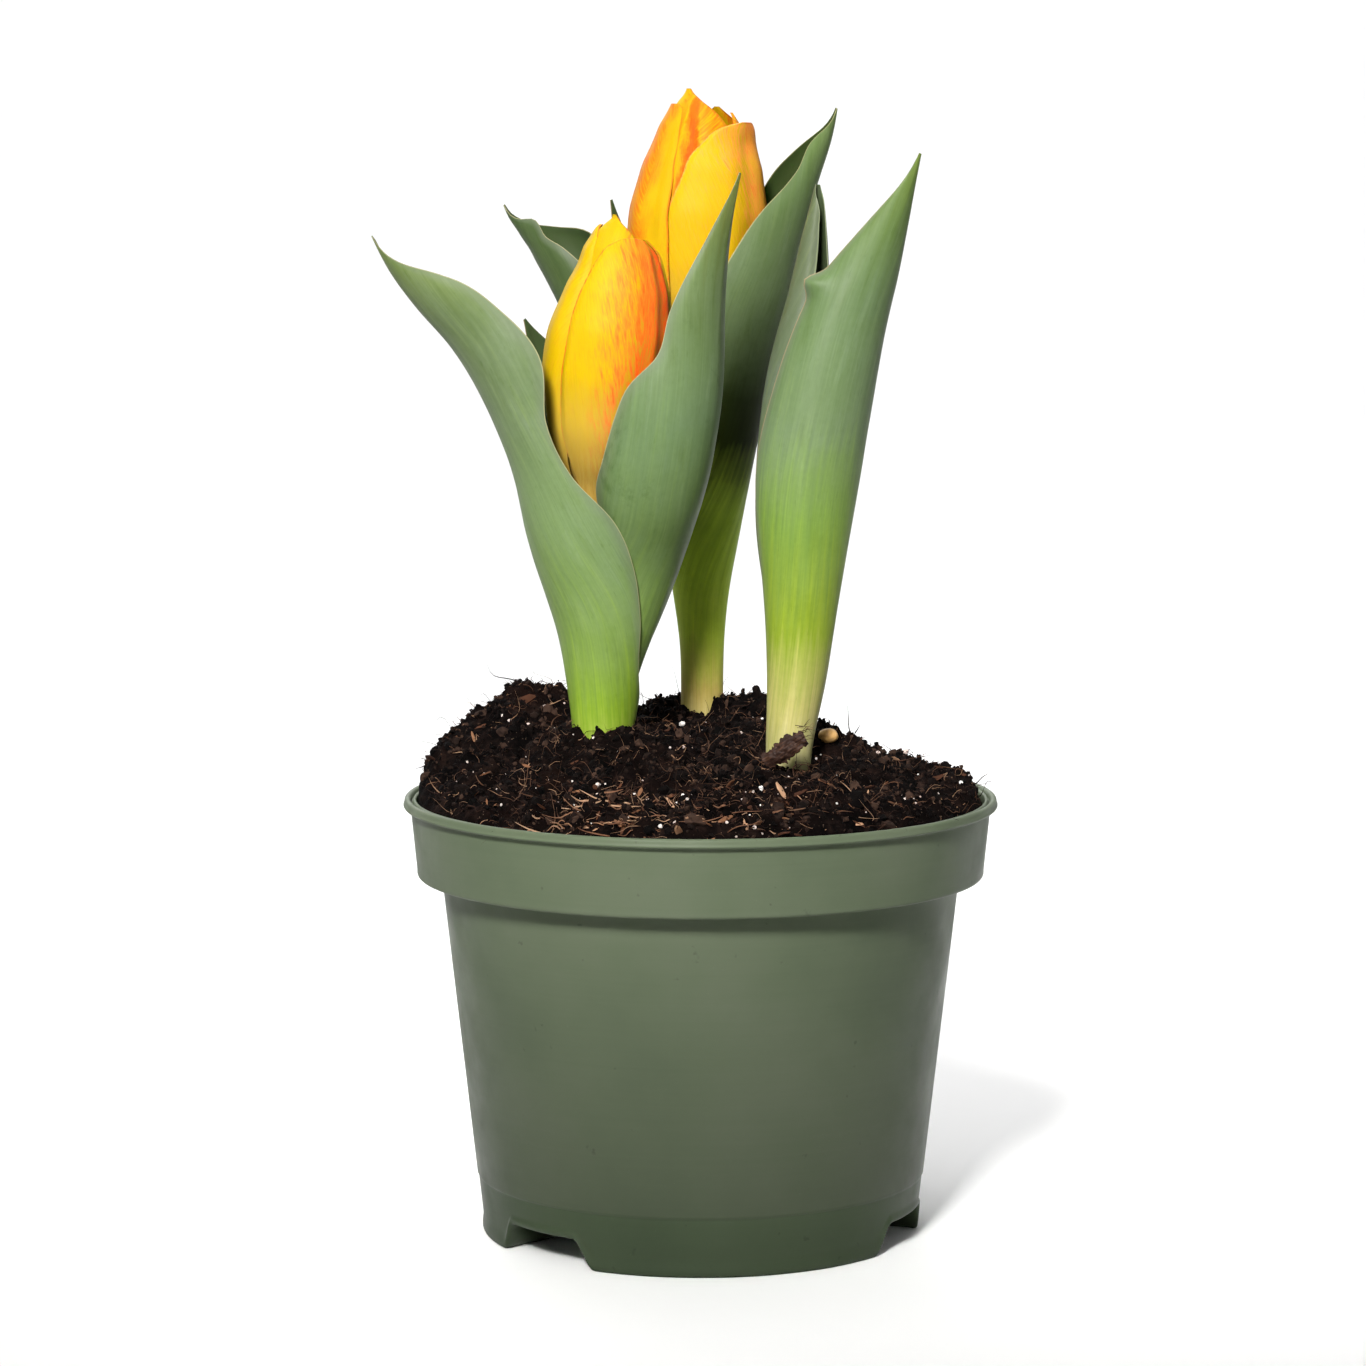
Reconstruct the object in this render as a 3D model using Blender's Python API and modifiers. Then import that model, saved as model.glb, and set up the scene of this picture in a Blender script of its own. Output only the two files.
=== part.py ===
"""Potted tulip: three bulbs growing in a 12 cm nursery pot, two of them in bud.

The origin is the middle of the pot's underside, +Z is up and -Y is the front.
Plant a stands front left, plant b at the back and plant c front right.
"""

import math

import bmesh
import bpy
import numpy as np

MM = 0.001
GAP = 0.3  # clearance between pieces that touch

# Pot, millimetres
POT_HEIGHT = 88.9
LIP_RADIUS = 60.0
LIP_LOW = 87.1
SKIRT_TOP_RADIUS = 58.5
SKIRT_LOW = 73.1
SKIRT_LOW_RADIUS = 57.2
BODY_TOP_RADIUS = 52.4
FOOT_BAND_TOP = 12.0
FOOT_RADIUS = 44.1
WALL = 1.2
POT_STEPS = 40

# Drainage channels under the pot, which leave three feet
CHANNEL_ANGLES = (-48.0, 72.0, 192.0)
CHANNEL_HALF_WIDTH = 13.0
CHANNEL_FLARE = 2.8
CHANNEL_HEIGHT = 6.2
CHANNEL_START = 15.0
DRAIN_RADIUS = 3.5
DRAIN_PLACE = 29.0

# Soil
SOIL_RADIUS = SKIRT_TOP_RADIUS - WALL - GAP
SOIL_RIM = 87.6
SOIL_CROWN = 13.0
# Mounds and dips: x, y, height, spread
SOIL_MOUNDS = (
    (-36.0, 16.0, 13.0, 12.5),
    (-3.0, 34.0, 7.0, 12.0),
    (-50.0, -4.0, 3.5, 10.0),
    (-20.0, -12.0, 6.5, 8.5),
    (17.0, -17.0, -1.6, 9.0),
    (13.0, 30.0, 4.0, 8.0),
    (25.0, 6.0, 4.0, 6.5),
    (46.0, 24.0, -6.0, 14.0),
    (48.0, -2.0, 1.5, 8.0),
)
SOIL_RINGS = 9
SOIL_SECTORS = 40

# Bulbs, stems and leaves
BULB_RADIUS = 16.0
BULB_BASE = 42.0
BULB_NOSE = 84.0
LEAF_THICK = 0.6
THINNEST_PART = 0.4  # a blade is no thicker than this part of its curl's radius
LEAF_ALONG = 15
LEAF_ACROSS = 9

# Each plant: place of the bulb's axis, and the hole its leaves need in the soil
PLANTS = {
    "a": {"place": (-19.5, -12.0), "neck": 6.8},
    "b": {"place": (0.4, 25.0), "neck": 4.8},
    "c": {"place": (17.4, -14.0), "neck": 4.9},
}

# Stems: points up the middle, and radius
STEMS = {
    "stem_a": ([(-19.5, -12, 84.3), (-19.6, -12, 110), (-20.6, -12, 135), (-21.6, -12, 151.2)], 2.5),
    "stem_b": ([(0.4, 25, 84.3), (0.4, 25, 120), (-0.4, 25, 150), (-1.6, 25, 171.5)], 1.9),
    "stem_c": ([(17.4, -14, 84.3), (17.6, -14, 105), (19.2, -13, 122.5)], 2.1),
}

# Leaves. Each row is a section of the blade, which curls round an axis:
# x, y, z of the axis, radius, direction the inner face looks, angle to the left and right edge.
# The direction is 0 towards the back and 90 towards the right.
LEAVES = {
    "leaf_a_left": (
        (-19.5, -12, 85, 5.9, 20, 150, 150),
        (-19.5, -12, 103, 6, 20, 140, 140),
        (-19.1, -11, 115, 8, 24, 112, 82),
        (-19, -10, 126, 10.2, 30, 100, 76),
        (-20.4, -9.8, 135, 11.5, 40, 92, 80),
        (-23.2, -11, 146, 12, 52, 88, 81),
        (-25.2, -12, 156.5, 12, 66, 88, 64),
        (-28.5, -13, 167, 12.3, 74, 85, 65),
        (-33.6, -14, 178, 12.3, 76, 82, 88),
        (-41.3, -15, 187, 10.7, 76, 76, 88),
        (-51, -17, 194, 8.2, 76, 66, 86),
        (-59, -19, 199, 4.4, 76, 50, 62),
        (-63.8, -21, 202.2, 1.2, 76, 24, 24),
    ),
    "leaf_a_right": (
        (-19.5, -12, 85, 4.75, -110, 150, 150),
        (-19.5, -12, 103, 4.75, -100, 140, 140),
        (-18, -11.3, 116, 5.6, -85, 90, 115),
        (-15, -10, 127, 7, -70, 75, 110),
        (-12.8, -9, 135, 8, -66, 76, 100),
        (-11.2, -11.3, 146, 10.2, -62, 115, 95),
        (-10.6, -13.6, 151.5, 11.2, -60, 133, 90),
        (-9.6, -14.8, 157, 11.7, -60, 122, 86),
        (-8.4, -15.9, 165, 11.8, -60, 110, 80),
        (-7.2, -16.3, 171, 11.5, -60, 100, 76),
        (-6, -16.3, 178, 10.8, -60, 76, 72),
        (-3.6, -18, 189, 8.6, -60, 74, 66),
        (0.4, -20, 200, 5.3, -60, 64, 56),
        (4.4, -21.5, 208.5, 2.4, -60, 50, 40),
        (7, -22, 214.3, 1.2, -60, 24, 24),
    ),
    "leaf_a_small": (
        (-19.5, -12, 85, 3.6, 190, 140, 140),
        (-19.5, -11.8, 105, 3.6, 188, 128, 128),
        (-19.4, -11, 116, 4.1, 182, 110, 110),
        (-19.3, -9.5, 127, 5, 178, 92, 92),
        (-19.5, -7.5, 137, 6.2, 174, 78, 78),
        (-20.6, -4.5, 150, 8.6, 164, 62, 62),
        (-25, -1, 168, 8, 150, 56, 56),
        (-31, 0, 179, 4.5, 150, 44, 44),
        (-35, 0, 185, 1.2, 150, 24, 24),
    ),
    "leaf_b_right": (
        (0.4, 25, 85, 4.5, -10, 150, 150),
        (0.4, 25, 104, 4.4, -10, 145, 145),
        (0.4, 25, 118, 4.6, -10, 135, 135),
        (0.1, 25, 129, 6, -14, 112, 120),
        (0.4, 24.5, 138, 7.4, -36, 90, 100),
        (1, 24.5, 148, 8.6, -60, 96, 86),
        (1.8, 24, 159, 10, -72, 98, 80),
        (2.5, 24, 174, 12.4, -76, 90, 80),
        (3.6, 24, 186, 13.6, -76, 88, 82),
        (7.6, 24, 197, 12.6, -84, 92, 84),
        (13.6, 23.5, 206.5, 9, -94, 100, 98),
        (19.3, 23, 215, 5.6, -100, 96, 102),
        (24.2, 22.5, 221.7, 2.9, -100, 104, 82),
        (27, 22, 227.2, 1.2, -100, 24, 24),
    ),
    "leaf_b_left": (
        (0.4, 25, 85, 3.4, 100, 140, 140),
        (0.4, 25, 112, 3.4, 98, 110, 120),
        (0.2, 25.1, 124, 3.7, 90, 66, 110),
        (-0.3, 25.3, 132, 4.3, 84, 58, 90),
        (-1.5, 25.5, 139, 5.3, 80, 62, 80),
        (-4.6, 26.4, 149, 7, 78, 74, 68),
        (-8.3, 27.4, 159, 7.8, 79, 84, 76),
        (-13.2, 28.3, 170, 8, 84, 102, 98),
        (-19.2, 29, 182.5, 7.5, 94, 116, 112),
        (-24.3, 30.2, 193, 7.2, 104, 140, 112),
        (-27.2, 31, 198, 7.1, 104, 138, 102),
        (-30.6, 31.6, 201.3, 6.4, 104, 92, 98),
        (-35.2, 31.8, 204, 3.7, 104, 54, 124),
        (-38.6, 31.8, 206, 1.9, 104, 36, 70),
        (-40, 31.5, 207.6, 1.2, 104, 24, 24),
    ),
    "leaf_b_small": (
        (0.4, 25, 122, 2.75, 180, 100, 100),
        (0.4, 25.9, 130, 2.9, 178, 82, 74),
        (0.2, 28.3, 138, 4.2, 176, 70, 58),
        (-3.5, 34, 152, 6.5, 166, 54, 54),
        (-8.5, 41, 175, 7.5, 160, 50, 50),
        (-14, 42, 195, 4.5, 155, 44, 44),
        (-18.2, 42, 208.2, 1.2, 150, 24, 24),
    ),
    "leaf_c_front": (
        (17.4, -14, 85, 4.4, -20, 150, 150),
        (17.4, -14, 99, 4.5, -20, 140, 140),
        (19.1, -14, 115, 6.0, -20, 120, 120),
        (19.7, -14, 126, 7.0, -20, 112, 112),
        (20.1, -14, 137, 8.4, -20, 105, 105),
        (20.4, -14, 148, 10.0, -20, 100, 95),
        (21.1, -14, 158, 10.9, -22, 94, 90),
        (23.0, -14, 168, 10.6, -24, 90, 86),
        (25.3, -14, 178, 10.0, -26, 88, 82),
        (28.4, -14, 188, 8.8, -28, 88, 78),
        (32.4, -14, 197, 7.1, -30, 78, 70),
        (36.8, -14, 206, 4.4, -32, 64, 60),
        (40.4, -14, 213.2, 2.2, -34, 40, 36),
        (42.6, -14, 217.9, 1.2, -34, 24, 24),
    ),
    "leaf_c_back": (
        (17.4, -14, 85, 3.4, 165, 150, 150),
        (17.6, -14, 105, 3.5, 165, 140, 140),
        (18.4, -11.5, 125, 5.0, 165, 105, 105),
        (18.6, -8, 145, 7.8, 165, 92, 92),
        (19.0, -6, 160, 8.4, 165, 90, 90),
        (20.2, -5, 175, 7.2, 160, 90, 88),
        (21.4, -4.5, 188, 5.0, 155, 96, 88),
        (22.6, -4.5, 199, 2.8, 150, 90, 80),
        (23.2, -4.5, 206.5, 1.5, 150, 50, 44),
        (23.5, -4.5, 211.8, 1.2, 150, 24, 24),
    ),
}

# A torn scrap of bulb skin, in the same rows, leaning on plant c
SKIN_SCRAP = (
    (12.2, -22.6, 99.7, 3.2, -4, 38, 34),
    (14.6, -23.4, 101.0, 3.4, 0, 46, 44),
    (17.2, -24.0, 102.8, 3.4, 4, 44, 44),
    (19.8, -24.4, 103.8, 3.0, 10, 30, 30),
)
SKIN_THICK = 0.5
PEBBLE_PLACE = (25.6, -4.0)
PEBBLE_HALF_SIZE = (2.1, 1.5, 1.3)

# Flowers: foot and top of the axis, greatest radius, and how far the first outer petal is turned
FLOWERS = {
    "a": {"foot": (-21.6, -12, 152.0), "top": (-15.2, -12, 205.0), "radius": 12.6, "turn": 14.0},
    "b": {"foot": (-1.6, 25, 172.0), "top": (1.0, 25, 230.0), "radius": 13.9, "turn": 40.0},
}
# How the bud swells: part of its length, part of its greatest radius, half angle of a petal
BUD_SHAPE = (
    (0.00, 0.31, 48),
    (0.07, 0.55, 52),
    (0.20, 0.80, 55),
    (0.40, 0.97, 57),
    (0.58, 1.00, 57),
    (0.74, 0.90, 56),
    (0.88, 0.66, 52),
    (0.96, 0.42, 40),
    (1.00, 0.24, 16),
)
PETAL_THICK = 0.6
PETAL_INSET = 1.1  # the inner three petals lie this far inside the outer three
PETAL_ALONG = 9
PETAL_ACROSS = 5
# The third plant's bud, closed and low between its leaves
GREEN_BUD = {"place": (19.2, -13.0), "foot": 123.0, "length": 30.0, "widest": 4.9, "base": 1.8}
STAMENS = 6
STAMEN_RING = 1.7
STAMEN_LENGTH = 22.0

parts = bpy.data.collections.new("potted_tulip")
cutters = bpy.data.collections.new("cutters")


def clear_scene():
    for obj in list(bpy.data.objects):
        bpy.data.objects.remove(obj, do_unlink=True)
    bpy.context.scene.collection.children.link(parts)
    bpy.context.scene.collection.children.link(cutters)
    cutters.hide_render = True


def material(name, colour, roughness):
    made = bpy.data.materials.new(name)
    made.use_nodes = True
    shader = made.node_tree.nodes["Principled BSDF"]
    shader.inputs["Base Color"].default_value = (*colour, 1.0)
    shader.inputs["Roughness"].default_value = roughness
    return made


MATERIALS = {
    "pot": material("pot_plastic", (0.100, 0.130, 0.085), 0.42),
    "soil": material("peat", (0.022, 0.013, 0.009), 0.95),
    "leaf": material("leaf_green", (0.210, 0.340, 0.180), 0.50),
    "stem": material("stem_green", (0.420, 0.520, 0.220), 0.45),
    "petal": material("petal_yellow", (0.900, 0.520, 0.020), 0.50),
    "bud": material("bud_green", (0.340, 0.440, 0.140), 0.50),
    "stamen": material("anther_dark", (0.060, 0.030, 0.045), 0.70),
    "bulb": material("bulb_skin", (0.260, 0.110, 0.040), 0.60),
    "pebble": material("pebble_tan", (0.560, 0.330, 0.130), 0.60),
}


def add_object(name, mesh, kind, where=parts, sharp_degrees=50.0):
    obj = bpy.data.objects.new(name, mesh)
    where.objects.link(obj)
    mesh.materials.append(MATERIALS[kind])
    if isinstance(mesh, bpy.types.Mesh):
        mesh.shade_smooth()
        mesh.set_sharp_from_angle(angle=math.radians(sharp_degrees))
    if where is cutters:
        obj.hide_render = True
        obj.display_type = "WIRE"
    return obj


def mesh_from_bmesh(name, bm):
    bmesh.ops.recalc_face_normals(bm, faces=bm.faces)
    mesh = bpy.data.meshes.new(name)
    bm.to_mesh(mesh)
    bm.free()
    return mesh


def turned(name, outline, place, steps, kind, where=parts):
    """A solid of revolution from (radius, height) points that run top to bottom."""
    mesh = bpy.data.meshes.new(name)
    points = [(radius * MM, 0, height * MM) for radius, height in outline]
    mesh.from_pydata(points, [(i, i + 1) for i in range(len(points) - 1)], [])
    obj = add_object(name, mesh, kind, where)
    obj.location = (place[0] * MM, place[1] * MM, 0)
    screw = obj.modifiers.new("turn", "SCREW")
    screw.axis = "Z"
    screw.steps = screw.render_steps = steps
    screw.use_merge_vertices = True
    screw.merge_threshold = 0.00001
    screw.use_smooth_shade = True
    return obj


def cut(obj, tool, label):
    boolean = obj.modifiers.new(label, "BOOLEAN")
    boolean.operation = "DIFFERENCE"
    boolean.solver = "EXACT"
    boolean.object = tool


def smooth_rows(rows, count):
    """The rows read at even steps along a smooth curve through them; x, y and z come first."""
    rows = np.array(rows, float)
    steps = np.linalg.norm(np.diff(rows[:, :3], axis=0), axis=1)
    reached = np.concatenate([[0.0], np.cumsum(steps)])
    slope = np.gradient(rows, reached, axis=0)
    wanted = np.linspace(0.0, reached[-1], count)
    low = np.clip(np.searchsorted(reached, wanted, side="right") - 1, 0, len(rows) - 2)
    span = (reached[low + 1] - reached[low])[:, None]
    t = (wanted - reached[low])[:, None] / span
    start = (1 + 2 * t) * (1 - t) ** 2 * rows[low] + t * (1 - t) ** 2 * span * slope[low]
    end = t * t * (3 - 2 * t) * rows[low + 1] + t * t * (t - 1) * span * slope[low + 1]
    return start + end


def unit(vectors):
    return vectors / np.linalg.norm(vectors, axis=-1, keepdims=True)


def section_points(line, across, depth):
    """Points across each section of a blade, at a depth under its outer face."""
    axis, radius = line[:, :3], line[:, 3] - depth
    facing, left, right = np.radians(line[:, 4:7]).T
    tangent = unit(np.gradient(axis, axis=0))
    face = np.c_[np.sin(facing), np.cos(facing), 0 * facing]
    face = unit(face - (face * tangent).sum(1)[:, None] * tangent)
    side = np.cross(face, tangent)
    angle = -left[:, None] + (left + right)[:, None] * np.linspace(0, 1, across)
    inward = face[:, None] * (radius[:, None] * np.cos(angle))[..., None]
    sideways = side[:, None] * (radius[:, None] * np.sin(angle))[..., None]
    return axis[:, None] - inward + sideways


def blade(name, rows, along, across, thick, kind):
    """A curled sheet, lofted through closed sections: the outer face one way, the inner face back."""
    line = smooth_rows(rows, along)
    depth = np.minimum(thick, THINNEST_PART * line[:, 3])
    outer = section_points(line, across, 0) * MM
    inner = section_points(line, across, depth) * MM
    bm = bmesh.new()
    outer = [[bm.verts.new(point) for point in section] for section in outer]
    inner = [[bm.verts.new(point) for point in section] for section in inner]
    for sheet in (outer, inner):
        for low, high in zip(sheet, sheet[1:]):
            for j in range(across - 1):
                bm.faces.new((low[j], low[j + 1], high[j + 1], high[j]))
    for j in (0, across - 1):
        for i in range(along - 1):
            bm.faces.new((outer[i][j], outer[i + 1][j], inner[i + 1][j], inner[i][j]))
    for i in (0, along - 1):
        for j in range(across - 1):
            bm.faces.new((outer[i][j], outer[i][j + 1], inner[i][j + 1], inner[i][j]))
    return add_object(name, mesh_from_bmesh(name, bm), kind)


def tube(name, points, radii, kind, sides=2):
    """A tube along points, with its own radius at each."""
    curve = bpy.data.curves.new(name, "CURVE")
    curve.dimensions = "3D"
    curve.bevel_depth = MM
    curve.bevel_resolution = sides
    curve.use_fill_caps = True
    spline = curve.splines.new("POLY")
    spline.points.add(len(points) - 1)
    for target, point, radius in zip(spline.points, points, radii):
        target.co = (*(float(v) * MM for v in point), 1.0)
        target.radius = radius
    return add_object(name, curve, kind)


# ---- pot ----

def pot_outline():
    return [
        (0, POT_HEIGHT),
        (LIP_RADIUS - 1.4, POT_HEIGHT),
        (LIP_RADIUS - 0.4, POT_HEIGHT - 0.3),
        (LIP_RADIUS, POT_HEIGHT - 1.0),
        (LIP_RADIUS - 0.1, LIP_LOW + 0.6),
        (LIP_RADIUS - 0.7, LIP_LOW),
        (SKIRT_TOP_RADIUS, LIP_LOW - 0.2),
        (SKIRT_LOW_RADIUS + 0.1, SKIRT_LOW + 1.0),
        (SKIRT_LOW_RADIUS - 0.7, SKIRT_LOW),
        (BODY_TOP_RADIUS + 0.6, SKIRT_LOW - 0.2),
        (BODY_TOP_RADIUS, SKIRT_LOW - 1.0),
        (radius_of_body(FOOT_BAND_TOP) + 0.1, FOOT_BAND_TOP),
        (radius_of_body(FOOT_BAND_TOP) - 0.2, FOOT_BAND_TOP - 0.4),
        (FOOT_RADIUS, 0.8),
        (FOOT_RADIUS - 0.8, 0),
        (0, 0),
    ]


def radius_of_body(height):
    return FOOT_RADIUS + (BODY_TOP_RADIUS - FOOT_RADIUS) * height / SKIRT_LOW


def hollow_outline(shrink, top):
    """The inside of the pot, made smaller all round by shrink, and filled up to top."""
    shelf = SKIRT_LOW + WALL + shrink
    return [
        (0, top),
        (SKIRT_TOP_RADIUS - WALL - shrink, top),
        (SKIRT_TOP_RADIUS - WALL - shrink, LIP_LOW),
        (SKIRT_LOW_RADIUS - WALL - shrink, shelf + 0.6),
        (SKIRT_LOW_RADIUS - WALL - shrink - 0.6, shelf),
        (BODY_TOP_RADIUS - WALL - shrink, shelf - 0.4),
        (radius_of_body(WALL) - WALL - shrink, WALL + shrink),
        (0, WALL + shrink),
    ]


def channel(name, degrees, grow):
    """A drainage channel with S-shaped sides, as a cutter that runs out through the wall."""
    top = CHANNEL_HEIGHT + grow
    sides = []
    for step in range(7):
        rise = step / 6
        half = CHANNEL_HALF_WIDTH + grow + CHANNEL_FLARE * math.cos(math.pi * rise)
        sides.append((half, rise * top))
    outline = [(sides[0][0], -2.0), *sides]
    outline += [(-half, height) for half, height in reversed(outline)]
    bm = bmesh.new()
    face = bm.faces.new([bm.verts.new((x * MM, 0, z * MM)) for x, z in outline])
    pushed = bmesh.ops.extrude_face_region(bm, geom=[face])["geom"]
    near, far = -(CHANNEL_START - grow) * MM, -80 * MM
    for vert in bm.verts:
        vert.co.y = near
    for vert in [item for item in pushed if isinstance(item, bmesh.types.BMVert)]:
        vert.co.y = far
    obj = add_object(name, mesh_from_bmesh(name, bm), "pot", cutters)
    obj.rotation_euler.z = math.radians(degrees)
    return obj


def drain(name, degrees):
    bm = bmesh.new()
    bmesh.ops.create_cone(
        bm, cap_ends=True, segments=16, radius1=DRAIN_RADIUS * MM, radius2=DRAIN_RADIUS * MM, depth=20 * MM
    )
    obj = add_object(name, mesh_from_bmesh(name, bm), "pot", cutters)
    turn = math.radians(degrees)
    obj.location = (DRAIN_PLACE * MM * math.sin(turn), -DRAIN_PLACE * MM * math.cos(turn), 0.006)
    return obj


def make_pot():
    pot = turned("pot", pot_outline(), (0, 0), POT_STEPS, "pot")
    inside = turned("pot_inside", hollow_outline(0, POT_HEIGHT + 6), (0, 0), POT_STEPS, "pot", cutters)
    for number, degrees in enumerate(CHANNEL_ANGLES):
        cut(inside, channel(f"channel_lining_{number}", degrees, WALL), f"channel_{number}")
    for number, degrees in enumerate(CHANNEL_ANGLES):
        cut(pot, channel(f"channel_{number}", degrees, 0), f"channel_{number}")
    cut(pot, inside, "inside")
    for number, degrees in enumerate(CHANNEL_ANGLES):
        cut(pot, drain(f"drain_{number}", degrees), f"drain_{number}")


# ---- soil, bulbs and what lies on the soil ----

def soil_height(x, y):
    reach = min(1.0, math.hypot(x, y) / SOIL_RADIUS)
    height = SOIL_RIM + SOIL_CROWN * (1 - reach**2) ** 0.6
    for mound_x, mound_y, rise, spread in SOIL_MOUNDS:
        away = ((x - mound_x) ** 2 + (y - mound_y) ** 2) / (2 * spread**2)
        height += rise * math.exp(-away)
    return height


def inside_radius(height):
    """How far the soil reaches at a height behind the pot's collar."""
    high, low = hollow_outline(GAP, LIP_LOW)[2:4]
    part = min(1.0, (height - low[1]) / (high[1] - low[1]))
    return low[0] + (high[0] - low[0]) * part


def bulb_outline(grow):
    """Flat base plate, wide belly and a blunt nose under the leaves."""
    outline = [(0, BULB_NOSE + grow), (4.0 + grow, BULB_NOSE + grow)]
    for step in range(1, 9):
        turn = math.pi * step / 9
        height = BULB_BASE + (BULB_NOSE - BULB_BASE) * (0.5 + 0.5 * math.cos(turn))
        radius = 4.0 + (BULB_RADIUS - 4.0) * math.sin(turn) ** 0.9
        outline.append((radius + grow, height))
    return outline + [(4.0 + grow, BULB_BASE - grow), (0, BULB_BASE - grow)]


def soil_mesh():
    """The mound as rings of points, closed below along the inside of the pot."""
    bm = bmesh.new()
    rings = []
    turns = [2 * math.pi * k / SOIL_SECTORS for k in range(SOIL_SECTORS)]
    for ring in range(1, SOIL_RINGS + 1):
        radius = SOIL_RADIUS * ring / SOIL_RINGS
        rings.append([])
        for turn in turns:
            height = soil_height(radius * math.cos(turn), radius * math.sin(turn))
            reach = min(radius, inside_radius(height))
            place = (reach * math.cos(turn) * MM, reach * math.sin(turn) * MM, height * MM)
            rings[-1].append(bm.verts.new(place))
    for radius, height in hollow_outline(GAP, LIP_LOW)[3:-1]:
        places = [(radius * math.cos(turn), radius * math.sin(turn)) for turn in turns]
        rings.append([bm.verts.new((x * MM, y * MM, height * MM)) for x, y in places])
    for upper, lower in zip(rings, rings[1:]):
        for k in range(SOIL_SECTORS):
            after = (k + 1) % SOIL_SECTORS
            bm.faces.new((upper[k], lower[k], lower[after], upper[after]))
    middle = bm.verts.new((0, 0, soil_height(0, 0) * MM))
    for k in range(SOIL_SECTORS):
        bm.faces.new((middle, rings[0][k], rings[0][(k + 1) % SOIL_SECTORS]))
    bm.faces.new(rings[-1])
    return mesh_from_bmesh("soil", bm)


def make_soil():
    soil = add_object("soil", soil_mesh(), "soil")
    for number, degrees in enumerate(CHANNEL_ANGLES):
        cut(soil, channel(f"soil_channel_{number}", degrees, WALL + GAP), f"channel_{number}")
    for letter, plant in PLANTS.items():
        neck = plant["neck"]
        outline = [(0, 130), (neck, 130), (neck, BULB_NOSE + GAP), *bulb_outline(GAP)[1:]]
        hole = turned(f"soil_hole_{letter}", outline, plant["place"], 20, "soil", cutters)
        cut(soil, hole, f"plant_{letter}")


def make_bulbs():
    for letter, plant in PLANTS.items():
        turned(f"bulb_{letter}", bulb_outline(0), plant["place"], 16, "bulb")


def make_pebble():
    x, y = PEBBLE_PLACE
    bm = bmesh.new()
    bmesh.ops.create_icosphere(bm, subdivisions=2, radius=MM)
    bmesh.ops.scale(bm, vec=PEBBLE_HALF_SIZE, verts=bm.verts)
    obj = add_object("pebble", mesh_from_bmesh("pebble", bm), "pebble")
    height = soil_height(x, y) + PEBBLE_HALF_SIZE[2] + GAP
    obj.location = (x * MM, y * MM, height * MM)


def make_litter():
    make_pebble()
    blade("bulb_skin_scrap", SKIN_SCRAP, 6, 5, SKIN_THICK, "bulb")


# ---- stems, leaves and flowers ----

def make_stems():
    for name, (points, radius) in STEMS.items():
        line = smooth_rows(points, 7)
        radii = [radius] * 5 + [radius * 1.15, min(radius + 1.4, 3.6)]
        if name == "stem_c":
            radii = [radius] * 7
        tube(name, line, radii, "stem", sides=3)


def make_leaves():
    for name, rows in LEAVES.items():
        blade(name, rows, LEAF_ALONG, LEAF_ACROSS, LEAF_THICK, "leaf")


def petal_rows(flower, degrees, inset, length):
    """Sections of one petal, which curls round the flower's own axis."""
    foot, top = np.array(flower["foot"], float), np.array(flower["top"], float)
    rows = []
    for part, swell, half in BUD_SHAPE:
        place = foot + (top - foot) * (part * length)
        radius = flower["radius"] * swell - inset
        rows.append((*place, radius, -degrees, half, half))
    return rows


def make_petals(letter, flower):
    for number in range(3):
        turn = flower["turn"] + 120 * number
        rows = petal_rows(flower, turn, 0, 1.0)
        blade(f"petal_{letter}_outer_{number + 1}", rows, PETAL_ALONG, PETAL_ACROSS, PETAL_THICK, "petal")
        rows = petal_rows(flower, turn + 60, PETAL_INSET, 0.97)
        blade(f"petal_{letter}_inner_{number + 1}", rows, PETAL_ALONG, PETAL_ACROSS, PETAL_THICK, "petal")


def make_flower_heart(letter, flower):
    foot, top = np.array(flower["foot"], float), np.array(flower["top"], float)
    up = unit(top - foot)
    radii = [0.9, 1.9, 2.0, 1.5, 2.6, 1.4]
    heights = [0.1, 3.5, 12.0, 17.0, 19.5, 20.5]
    tube(f"pistil_{letter}", [foot + up * height for height in heights], radii, "bud")
    for number in range(STAMENS):
        turn = math.radians(flower["turn"] + 360 * number / STAMENS)
        out = np.array([math.sin(turn), -math.cos(turn), 0.0])
        spread = [(STAMEN_RING, 0.1), (3.6, 4.5), (4.0, 10.0), (4.4, 12.0), (4.5, 19.0), (4.2, STAMEN_LENGTH)]
        points = [foot + up * height + out * away for away, height in spread]
        tube(f"stamen_{letter}_{number + 1}", points, [0.4, 0.5, 0.5, 1.2, 1.2, 0.5], "stamen", sides=1)


def make_green_bud():
    foot, length, widest = GREEN_BUD["foot"], GREEN_BUD["length"], GREEN_BUD["widest"]
    outline = [(0, foot + length)]
    for step in range(1, 8):
        part = 1 - step / 8
        outline.append((widest * math.sin(math.pi * part**1.2) ** 0.7, foot + length * part))
    outline += [(GREEN_BUD["base"], foot), (0, foot)]
    turned("bud_c", outline, GREEN_BUD["place"], 12, "bud")


clear_scene()
make_pot()
make_soil()
make_bulbs()
make_litter()
make_stems()
make_leaves()
for flower_letter, flower_facts in FLOWERS.items():
    make_petals(flower_letter, flower_facts)
    make_flower_heart(flower_letter, flower_facts)
make_green_bud()
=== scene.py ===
# %% [markdown]
# # Potted tulips: three plants in a nursery pot
#
# The object is a thin plastic pot, 12 cm across, heaped with dark peat, with three tulip plants in it.
# Two carry a closed yellow flower with orange flames, and the third is still only leaves. The measured
# part comes first and never moves. Every piece of it that shows is made again as a finer mesh in the
# same place, because the measured solids have flat facets and plain colours. Leaves and petals could be
# sculpted by hand; rows of sections were chosen because they can be read, corrected and lofted finely.

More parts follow.
